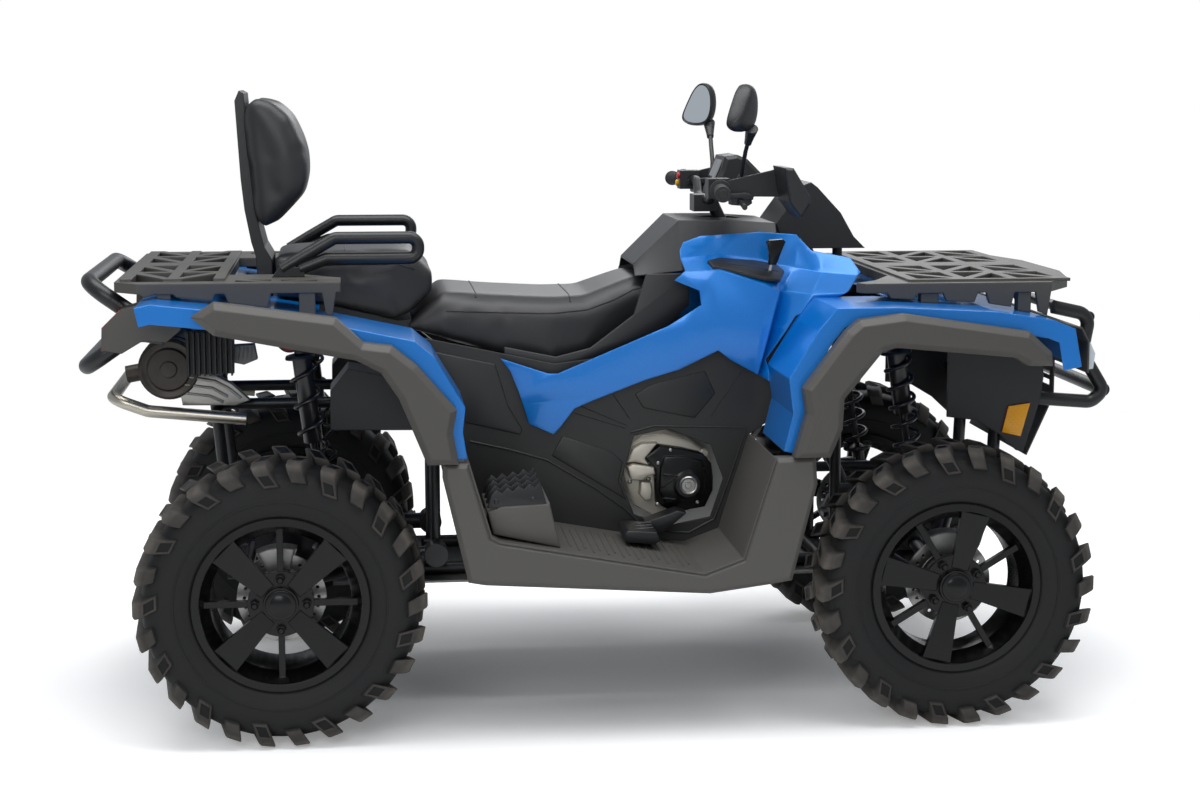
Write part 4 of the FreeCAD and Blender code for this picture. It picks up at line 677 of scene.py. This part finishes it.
# Brake pedal: a pressed and powder-coated steel arm, from its pivot in the side wall to a ribbed pad over the
# right floor
bm = bmesh.new()
slab(bm, [(0.08, 0.431), (0.155, 0.456), (0.176, 0.45), (0.123, 0.406), (0.086, 0.402)], -0.254, -0.31, 0.003)
slab(bm, [(0.018, 0.428), (0.026, 0.435), (0.092, 0.43), (0.1, 0.41), (0.086, 0.402), (0.021, 0.408)],
     -0.3, -0.42, 0.003)
beads(bm, [[(0.024, y, 0.431), (0.088, y, 0.433)] for y in (-0.325, -0.355, -0.385)], 0.003)
finished(bm, "brake_pedal", powder_coat)

# Gear selector: a moulded lever on a steel stem, in the slot of a black gate plate screwed to the shelf of the
# right side panel
SHELF_UP = Vector((0.158, -0.349, 0.924))
GATE = [(0.229, -0.257, 1.029), (0.261, -0.232, 1.033), (0.352, -0.216, 1.024), (0.398, -0.222, 1.014),
        (0.41, -0.25, 1.002), (0.392, -0.294, 0.986), (0.358, -0.3, 0.99), (0.3, -0.292, 1.004),
        (0.276, -0.288, 1.01), (0.237, -0.288, 1.017)]
bm = bmesh.new()
plate(bm, [Vector(p) - SHELF_UP * 0.004 for p in GATE], SHELF_UP * 0.008, 0.002)
finished(bm, "selector_gate", black_plastic)
bm = bmesh.new()
slab(bm, [(0.373, 1.02), (0.371, 1.05), (0.366, 1.071), (0.372, 1.077), (0.404, 1.079), (0.41, 1.073),
          (0.403, 1.056), (0.389, 1.02)], -0.247, -0.267, 0.004)
slots = [Vector(p) + SHELF_UP * 0.004
         for p in ((0.272, -0.262, 1.018), (0.308, -0.257, 1.014), (0.326, -0.256, 1.011), (0.351, -0.255, 1.007),
                   (0.393, -0.257, 0.999))]
beads(bm, [slots], 0.0025)
finished(bm, "selector_lever", black_enamel)
bm = bmesh.new()
turned_on(bm, [(0, 0), (0, 0.0055), (0.028, 0.0045), (0.028, 0)], 16, (0.374, -0.256, 0.998),
          (0.38, -0.257, 1.03))
finished(bm, "selector_stem", chromed_steel, 40)

# Grips: sleeves of soft rubber with moulded ribs, pushed over the bar, with an open end and a flange by the
# control box
bm = bmesh.new()
bar_tip, bar_turn = Vector((0.24, -0.4, 1.19)), Vector((0.268, -0.16, 1.196))
grip_line = [(0, 0), (0.004, 0), (0.004, 0.0085), (0, 0.0095), (0, 0.0175), (0.004, 0.0185), (0.011, 0.0185),
             (0.013, 0.0155)]
for i in range(12):
    grip_line += [(0.0155 + 0.0075 * i, 0.0155), (0.0165 + 0.0075 * i, 0.0168), (0.0205 + 0.0075 * i, 0.0168),
                  (0.0215 + 0.0075 * i, 0.0155)]
grip_line += [(0.108, 0.0155), (0.11, 0.024), (0.115, 0.025), (0.118, 0.022), (0.12, 0.013), (0.12, 0)]
turned_on(bm, grip_line, 28, bar_tip, bar_turn)
both_sides(bm)
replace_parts(finished(bm, "ribbed_grips", grip_rubber, 50, "steering"), "grips")

# Switches: round buttons moulded in red and yellow acetal, pressed into the rear face of the left control box,
# one to stop the engine and one for the lamps
red_button = grained("red_acetal", "#b3161a", 0.35, 0, 600, 2, 0.001, 0.0001)
yellow_button = grained("yellow_acetal", "#d8a511", 0.35, 0, 600, 2, 0.001, 0.0001)
BUTTON = [(0, 0), (0, 0.008), (0.005, 0.008), (0.007, 0.006), (0.0065, 0)]
for name, finish, y, z in (("stop_button", red_button, 0.208, 1.205), ("lamp_button", yellow_button, 0.23, 1.186)):
    bm = bmesh.new()
    turned_on(bm, BUTTON, 20, (0.2325, y, z), (0.2, y, z))
    finished(bm, name, finish, 40, "steering")

# Instrument: a window cut from smoked acrylic and let into the rear face of the pod, with a thin haze of finger
# marks
smoked_acrylic, tree, shader, spots = new_finish("smoked_acrylic", "#0d0f12", 0.06)
smeared(tree, shader, spots, 30, 3, 0.04, 0.12)
bm = bmesh.new()
slab(bm, [(0.2805, 1.203), (0.292, 1.228), (0.3, 1.252), (0.297, 1.253), (0.2875, 1.229), (0.276, 1.204)],
     -0.05, 0.05, 0.001)
finished(bm, "display_window", smoked_acrylic, 40, "steering")

# Lamps: red acrylic lenses over the rear faces of the tail lamps, chromed bezels round the two bulbs of each
# headlamp, amber plates on the inner fenders and a black ring round each red reflector
bm = bmesh.new()
slab(bm, [(-1.085, 0.9515), (-1.125, 0.912), (-1.1275, 0.862), (-1.119, 0.862), (-1.117, 0.907), (-1.08, 0.943)],
     -0.357, -0.433, 0.001)
both_sides(bm)
finished(bm, "tail_lenses", red_lens)
bm = bmesh.new()
for y in (-0.33, -0.42):
    turned_on(bm, [(0, 0), (0, 0.029), (0.004, 0.029), (0.005, 0.026), (0.002, 0.0235), (0.0005, 0.02),
                   (0.0005, 0)], 32, (1.0795, y, 0.8255), (1.1, y, 0.8335))
both_sides(bm)
finished(bm, "headlamp_bezels", chromed_steel)
amber_acrylic, tree, shader, spots = new_finish("amber_acrylic", "#e8a013", 0.2)
prisms = add_node(tree, "ShaderNodeTexChecker", {"Scale": 160}, {"Vector": spots})
soften(tree, shader, 0.001, prisms.outputs["Fac"], 0.0003)
bm = bmesh.new()
slab(bm, [(0.9355, 0.6875), (0.9875, 0.6945), (0.9665, 0.6155), (0.9215, 0.6265)], -0.3055, -0.3085, 0.001)
both_sides(bm)
finished(bm, "amber_reflectors", amber_acrylic)
bm = bmesh.new()
turned_on(bm, [(0, 0.0285), (0, 0.0305), (0.0085, 0.0305), (0.0095, 0.029), (0.0095, 0.0265), (0.0085, 0.026)], 36,
          (-0.726, -0.3035, 0.868), (-0.726, -0.32, 0.868))
both_sides(bm)
finished(bm, "reflector_rings", black_plastic)

# Silencer: a drum of heat-stained steel with stepped ends and band clamps, behind a pressed aluminium heat
# shield with three ribs
stained_steel, tree, shader, spots = new_finish("heat_stained_steel", "#3d3a37", 0.42, 0.8)
soot = add_node(tree, "ShaderNodeTexNoise", {"Scale": 14, "Detail": 5}, {"Vector": spots})
burnt = add_node(tree, "ShaderNodeMix", {"data_type": "RGBA", 6: srgb("#232122"), 7: srgb("#57524c")},
                 {0: soot.outputs["Fac"]})
tree.links.new(burnt.outputs[2], shader.inputs["Base Color"])
soften(tree, shader, 0.003, soot.outputs["Fac"], 0.0002)
dress(["muffler"], stained_steel)
pressed_aluminium = grained("pressed_aluminium_sheet", "#a5a39e", 0.36, 0.9, 240, 3, 0.002, 0.0002)
DRUM = Vector((-1.003, 0, 0.79))
bm = bmesh.new()
for y in (-0.2, -0.14, 0.05, 0.186):
    turned_on(bm, [(0, 0.066), (0, 0.0705), (0.014, 0.0705), (0.014, 0.066), (0, 0.066)], 40,
              DRUM + Vector((0, y, 0)), DRUM + Vector((0, y + 1, 0)))
for sign in (-1, 1):
    turned_on(bm, [(0, 0), (0, 0.0665), (0.002, 0.0665), (0.003, 0.063), (0.001, 0.058), (0.001, 0.05),
                   (0.004, 0.046), (0.004, 0.02), (0.006, 0.017), (0.006, 0)], 40,
              DRUM + Vector((0, sign * 0.2095, 0)), DRUM + Vector((0, sign, 0)))
finished(bm, "drum_ends_and_clamps", stained_steel)
bm = bmesh.new()
slab(bm, [(-0.979, 0.736), (-0.974, 0.79), (-0.955, 0.786), (-0.9, 0.776), (-0.862, 0.755), (-0.822, 0.716),
          (-0.856, 0.7045), (-0.974, 0.7065)], -0.2045, -0.2085, 0.002)
beads(bm, on_plane(-0.2085, [(-0.97, 0.774), (-0.9, 0.762), (-0.868, 0.744), (-0.842, 0.722)],
                   [(-0.968, 0.755), (-0.906, 0.746), (-0.872, 0.726)],
                   [(-0.966, 0.735), (-0.912, 0.728), (-0.882, 0.714)]), 0.003)
finished(bm, "heat_shield", pressed_aluminium)

# Seat surround: inner covers moulded in black plastic, clipped in between the driver's seat and the side panels,
# and the tray under the rear seat
bm = bmesh.new()
slab(bm, [(0.09, 1.0), (0.19, 1.0), (0.19, 0.925), (0.13, 0.872), (-0.11, 0.765), (-0.14, 0.765), (-0.24, 0.8),
          (-0.24, 0.835), (-0.12, 0.81), (-0.04, 0.83), (0.06, 0.905)], -0.232, -0.238, 0.002)
both_sides(bm)
slab(bm, [(-0.735, 0.944), (-0.62, 0.925), (-0.48, 0.891), (-0.45, 0.893), (-0.45, 0.87), (-0.735, 0.925)],
     -0.16, 0.16, 0.002)
finished(bm, "seat_surround", black_plastic)

# Mirrors: teardrop shells moulded in black nylon, each round a silvered glass in a raised lip, on bent steel
# stalks with rubber sleeves that are bolted to the bar
MIRROR_TURN = math.radians(42)
SHELL = [(-26, -60), (14, -62), (42, -52), (54, -18), (52, 22), (38, 44), (14, 49), (-8, 30), (-26, 0), (-44, -32),
         (-46, -48)]
BACK = Vector((math.cos(MIRROR_TURN), -math.sin(MIRROR_TURN), 0))
ACROSS = Vector((math.sin(MIRROR_TURN), math.cos(MIRROR_TURN), 0))


def teardrop(bm, steps):
    """Shell of smooth rings, each (depth, size), from its first ring to a closed back."""
    centre = Vector((0.288, -0.306, 1.387))
    outline_loop(bm, [(u / 1000, w / 1000, 0) for u, w in SHELL])
    bmesh.ops.subdivide_edges(bm, edges=bm.edges[:], cuts=3, use_grid_fill=False)
    for _ in range(4):
        bmesh.ops.smooth_vert(bm, verts=bm.verts, factor=0.5, use_axis_x=True, use_axis_y=True)
    ring = bmesh.ops.contextual_create(bm, geom=bm.edges[:])["faces"]
    reached, size = steps[0]
    bmesh.ops.translate(bm, vec=(0, 0, reached), verts=bm.verts)
    bmesh.ops.scale(bm, vec=(size, size, 1), verts=bm.verts)
    for number, (depth, goal) in enumerate(steps[1:]):
        pushed = bmesh.ops.extrude_face_region(bm, geom=ring)["geom"]
        if number:
            bmesh.ops.delete(bm, geom=[f for f in ring if f.is_valid], context="FACES_ONLY")
        ring = [f for f in pushed if isinstance(f, bmesh.types.BMFace)]
        tips = [v for v in pushed if isinstance(v, bmesh.types.BMVert)]
        bmesh.ops.translate(bm, vec=(0, 0, depth - reached), verts=tips)
        bmesh.ops.scale(bm, vec=(goal / size, goal / size, 1), verts=tips)
        reached, size = depth, goal
    turn = Matrix((ACROSS, (0, 0, 1), BACK)).transposed().to_4x4()
    bmesh.ops.transform(bm, matrix=Matrix.Translation(centre) @ turn, verts=bm.verts)


bm = bmesh.new()
teardrop(bm, [(0, 0.9), (-0.003, 0.93), (-0.003, 0.97), (0.002, 1.0), (0.009, 1.0), (0.0145, 0.98),
              (0.0195, 0.94), (0.024, 0.875), (0.0278, 0.78), (0.0308, 0.66), (0.033, 0.5), (0.0345, 0.3),
              (0.035, 0.1)])
beads(bm, [[(0.314, -0.205, 1.2), (0.3165, -0.215, 1.24), (0.3175, -0.245, 1.28), (0.32, -0.275, 1.31)]], 0.0055)
turned_on(bm, [(0, 0), (0, 0.01), (0.012, 0.0105), (0.022, 0.008), (0.026, 0.006), (0.026, 0)], 20,
          (0.314, -0.205, 1.198), (0.315, -0.206, 1.3))
turned_on(bm, [(0, 0), (0, 0.0085), (0.012, 0.0095), (0.03, 0.012), (0.044, 0.0142), (0.05, 0.0148),
               (0.05, 0)], 20, (0.3188, -0.266, 1.299), (0.3215, -0.304, 1.336))
slab(bm, [(0.25, 1.184), (0.25, 1.196), (0.31, 1.2), (0.326, 1.199), (0.329, 1.192), (0.31, 1.186)], -0.19, -0.222,
     0.002)
both_sides(bm)
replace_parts(finished(bm, "teardrop_mirrors", black_plastic, 55, "steering"), "mirrors")
bm = bmesh.new()
teardrop(bm, [(0.0005, 0.88), (-0.001, 0.88)])
both_sides(bm)
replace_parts(finished(bm, "mirror_faces", silvered_glass, 40, "steering"), "mirror_glass")

# Brake reservoir: a cast box with a screwed lid ahead of the right control box, and its twin on the left bar, with
# two black rubber hoses from each box along the bar to its clamp
bm = bmesh.new()
slab(bm, [(0.284, 1.158), (0.282, 1.176), (0.314, 1.18), (0.33, 1.172), (0.332, 1.162), (0.322, 1.155)],
     -0.215, -0.262, 0.004)
slab(bm, [(0.279, 1.174), (0.279, 1.184), (0.316, 1.187), (0.334, 1.179), (0.333, 1.17)], -0.211, -0.266, 0.002)
for x, y in ((0.288, -0.22), (0.288, -0.257), (0.322, -0.22), (0.322, -0.257)):
    turned_on(bm, SCREW, 14, (x, y, 1.182), (x + 0.05, y, 2))
both_sides(bm)
finished(bm, "brake_reservoirs", black_plastic, 30, "steering")
bm = bmesh.new()
beads(bm, [[(0.305, -0.22, 1.175), (0.315, -0.19, 1.185), (0.318, -0.14, 1.195), (0.308, -0.09, 1.2),
            (0.29, -0.05, 1.2)],
           [(0.295, -0.22, 1.17), (0.302, -0.18, 1.176), (0.304, -0.12, 1.184), (0.285, -0.05, 1.19)]], 0.0035)
both_sides(bm)
finished(bm, "bar_hoses", grip_rubber, 30, "steering")

# Joint boots: pleated bellows moulded in rubber, pulled over both ends of each half shaft and held by a band at
# either end
BOOT = [(0, 0), (0, 0.034), (0.008, 0.035)]
for i in range(5):
    BOOT += [(0.012 + 0.013 * i, 0.034 - 0.0028 * i), (0.018 + 0.013 * i, 0.037 - 0.0032 * i)]
BOOT += [(0.079, 0.019), (0.09, 0.018), (0.09, 0)]
bm = bmesh.new()
for axle_x in (AXLE_X, -AXLE_X):
    inner, outer = Vector((axle_x, -0.1, 0.3493)), Vector((axle_x, -0.38, 0.3221))
    turned_on(bm, BOOT, 24, inner, outer)
    turned_on(bm, BOOT, 24, outer, inner)
both_sides(bm)
finished(bm, "joint_boots", grip_rubber, 50)

# Body backing: flat inner mouldings in black plastic, screwed on behind to close the joints between the coloured
# side panels and the front body
bm = bmesh.new()
slab(bm, [(0.34, 0.985), (0.47, 0.985), (0.455, 0.86), (0.42, 0.76), (0.34, 0.72), (0.3, 0.74)],
     -0.2, -0.204, 0.001)
both_sides(bm)
finished(bm, "joint_backing", black_plastic)

# Tail wiring box: a connector block moulded in grey nylon, with ribs over its sockets, clipped to the rear frame
# beside the voltage regulator
grey_nylon = grained("grey_nylon", "#6a6a66", 0.5, 0, 600, 2, 0.001, 0.0001)
bm = bmesh.new()
slab(bm, [(-0.858, 0.812), (-0.852, 0.85), (-0.806, 0.852), (-0.8, 0.818), (-0.83, 0.806)], -0.236, -0.27, 0.003)
beads(bm, on_plane(-0.27, *([(-0.85 + 0.009 * i, 0.82), (-0.848 + 0.009 * i, 0.846)] for i in range(5))), 0.0018)
finished(bm, "connector_block", grey_nylon)

# Seats: black marine vinyl drawn over moulded foam, tight over the crown, pulled in under the edge and stapled to
# the seat's base
def upholstered(name, node, body, cap):
    """Soft piece from a node's shape, swollen by cloth pressure and held within a cap."""
    bm = bmesh.new()
    bm.from_mesh(nodes[node].data)
    bmesh.ops.remove_doubles(bm, verts=bm.verts, dist=0.00002)
    mesh = bpy.data.meshes.new(name)
    bm.to_mesh(mesh)
    bm.free()
    mesh.materials.clear()
    mesh.materials.append(seat_vinyl)
    pad = bpy.data.objects.new(name, mesh)
    scene.collection.objects.link(pad)
    bpy.context.view_layer.objects.active = pad
    bpy.ops.object.select_all(action="DESELECT")
    pad.select_set(True)
    thin = pad.modifiers.new("tuck", "DISPLACE")
    thin.strength = -0.004
    thin.mid_level = 0.0
    remesh = pad.modifiers.new("skin", "REMESH")
    remesh.mode = "VOXEL"
    remesh.voxel_size = 0.006
    even = pad.modifiers.new("even", "SMOOTH")
    even.iterations = 6
    for step in ("tuck", "skin", "even"):
        bpy.ops.object.modifier_apply(modifier=step)
    rest = [v.co.copy() for v in pad.data.vertices]
    cloth = pad.modifiers.new("swell", "CLOTH")
    cloth.settings.use_pressure = True
    cloth.settings.uniform_pressure_force = 4
    cloth.settings.effector_weights.gravity = 0
    cloth.settings.quality = 6
    for frame_number in range(1, 21):
        scene.frame_set(frame_number)
    swollen = pad.evaluated_get(bpy.context.evaluated_depsgraph_get()).to_mesh()
    moved = [v.co.copy() for v in swollen.vertices]
    pad.modifiers.remove(cloth)
    for vertex, start, goal in zip(pad.data.vertices, rest, moved):
        step = goal - start
        vertex.co = start + step * min(1.0, cap / max(step.length, 1e-9))
    scene.frame_set(1)
    settle = pad.modifiers.new("settle", "SMOOTH")
    settle.iterations = 14
    bpy.ops.object.modifier_apply(modifier="settle")
    pad.data.shade_smooth()
    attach(pad, body)
    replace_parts(pad, node)
    return pad


upholstered("driver_saddle", "driver_seat", "chassis", 0.005)
upholstered("passenger_saddle", "passenger_seat", "chassis", 0.005)
upholstered("back_rest_cushion", "backrest_pad", "chassis", 0.008)

# Seams: doubled rows of stitching that raise welts along the crown of each cushion, laid on its finished
# surface
def welt(pad, rows, across=()):
    """Welts on a cushion: rows of (x, z) found from both sides, and x places crossed from above."""
    skin = BVHTree.FromObject(pad, bpy.context.evaluated_depsgraph_get())
    bm = bmesh.new()
    lines = []
    for row in rows:
        for sign in (-1, 1):
            hits = [skin.ray_cast(Vector((x, sign, z)), Vector((0, -sign, 0)))[0] for x, z in row]
            lines.append([hit for hit in hits if hit])
    for x, reach in across:
        hits = [skin.ray_cast(Vector((x, reach * i / 10, 2)), Vector((0, 0, -1)))[0] for i in range(-10, 11)]
        lines.append([hit for hit in hits if hit])
    beads(bm, [line for line in lines if len(line) > 1], 0.0018)
    finished(bm, pad.name + "_welts", seat_vinyl, 60)


def eased(points, parts=6):
    """The same row with in-between points, so that it follows the surface."""
    return [tuple(a + (b - a) * i / parts for a, b in zip(p, q))
            for p, q in zip(points, points[1:]) for i in range(parts)] + [points[-1]]


welt(bpy.data.objects["driver_saddle"],
     [eased([(-0.37, 0.915), (-0.25, 0.91), (-0.125, 0.906), (-0.043, 0.912), (0.02, 0.932), (0.07, 0.955),
             (0.135, 0.966)])], ((-0.3, 0.17), (-0.08, 0.17)))
welt(bpy.data.objects["passenger_saddle"],
     [eased([(-0.74, 1.018), (-0.62, 1.024), (-0.48, 1.024), (-0.44, 1.01)])], ((-0.6, 0.15),))
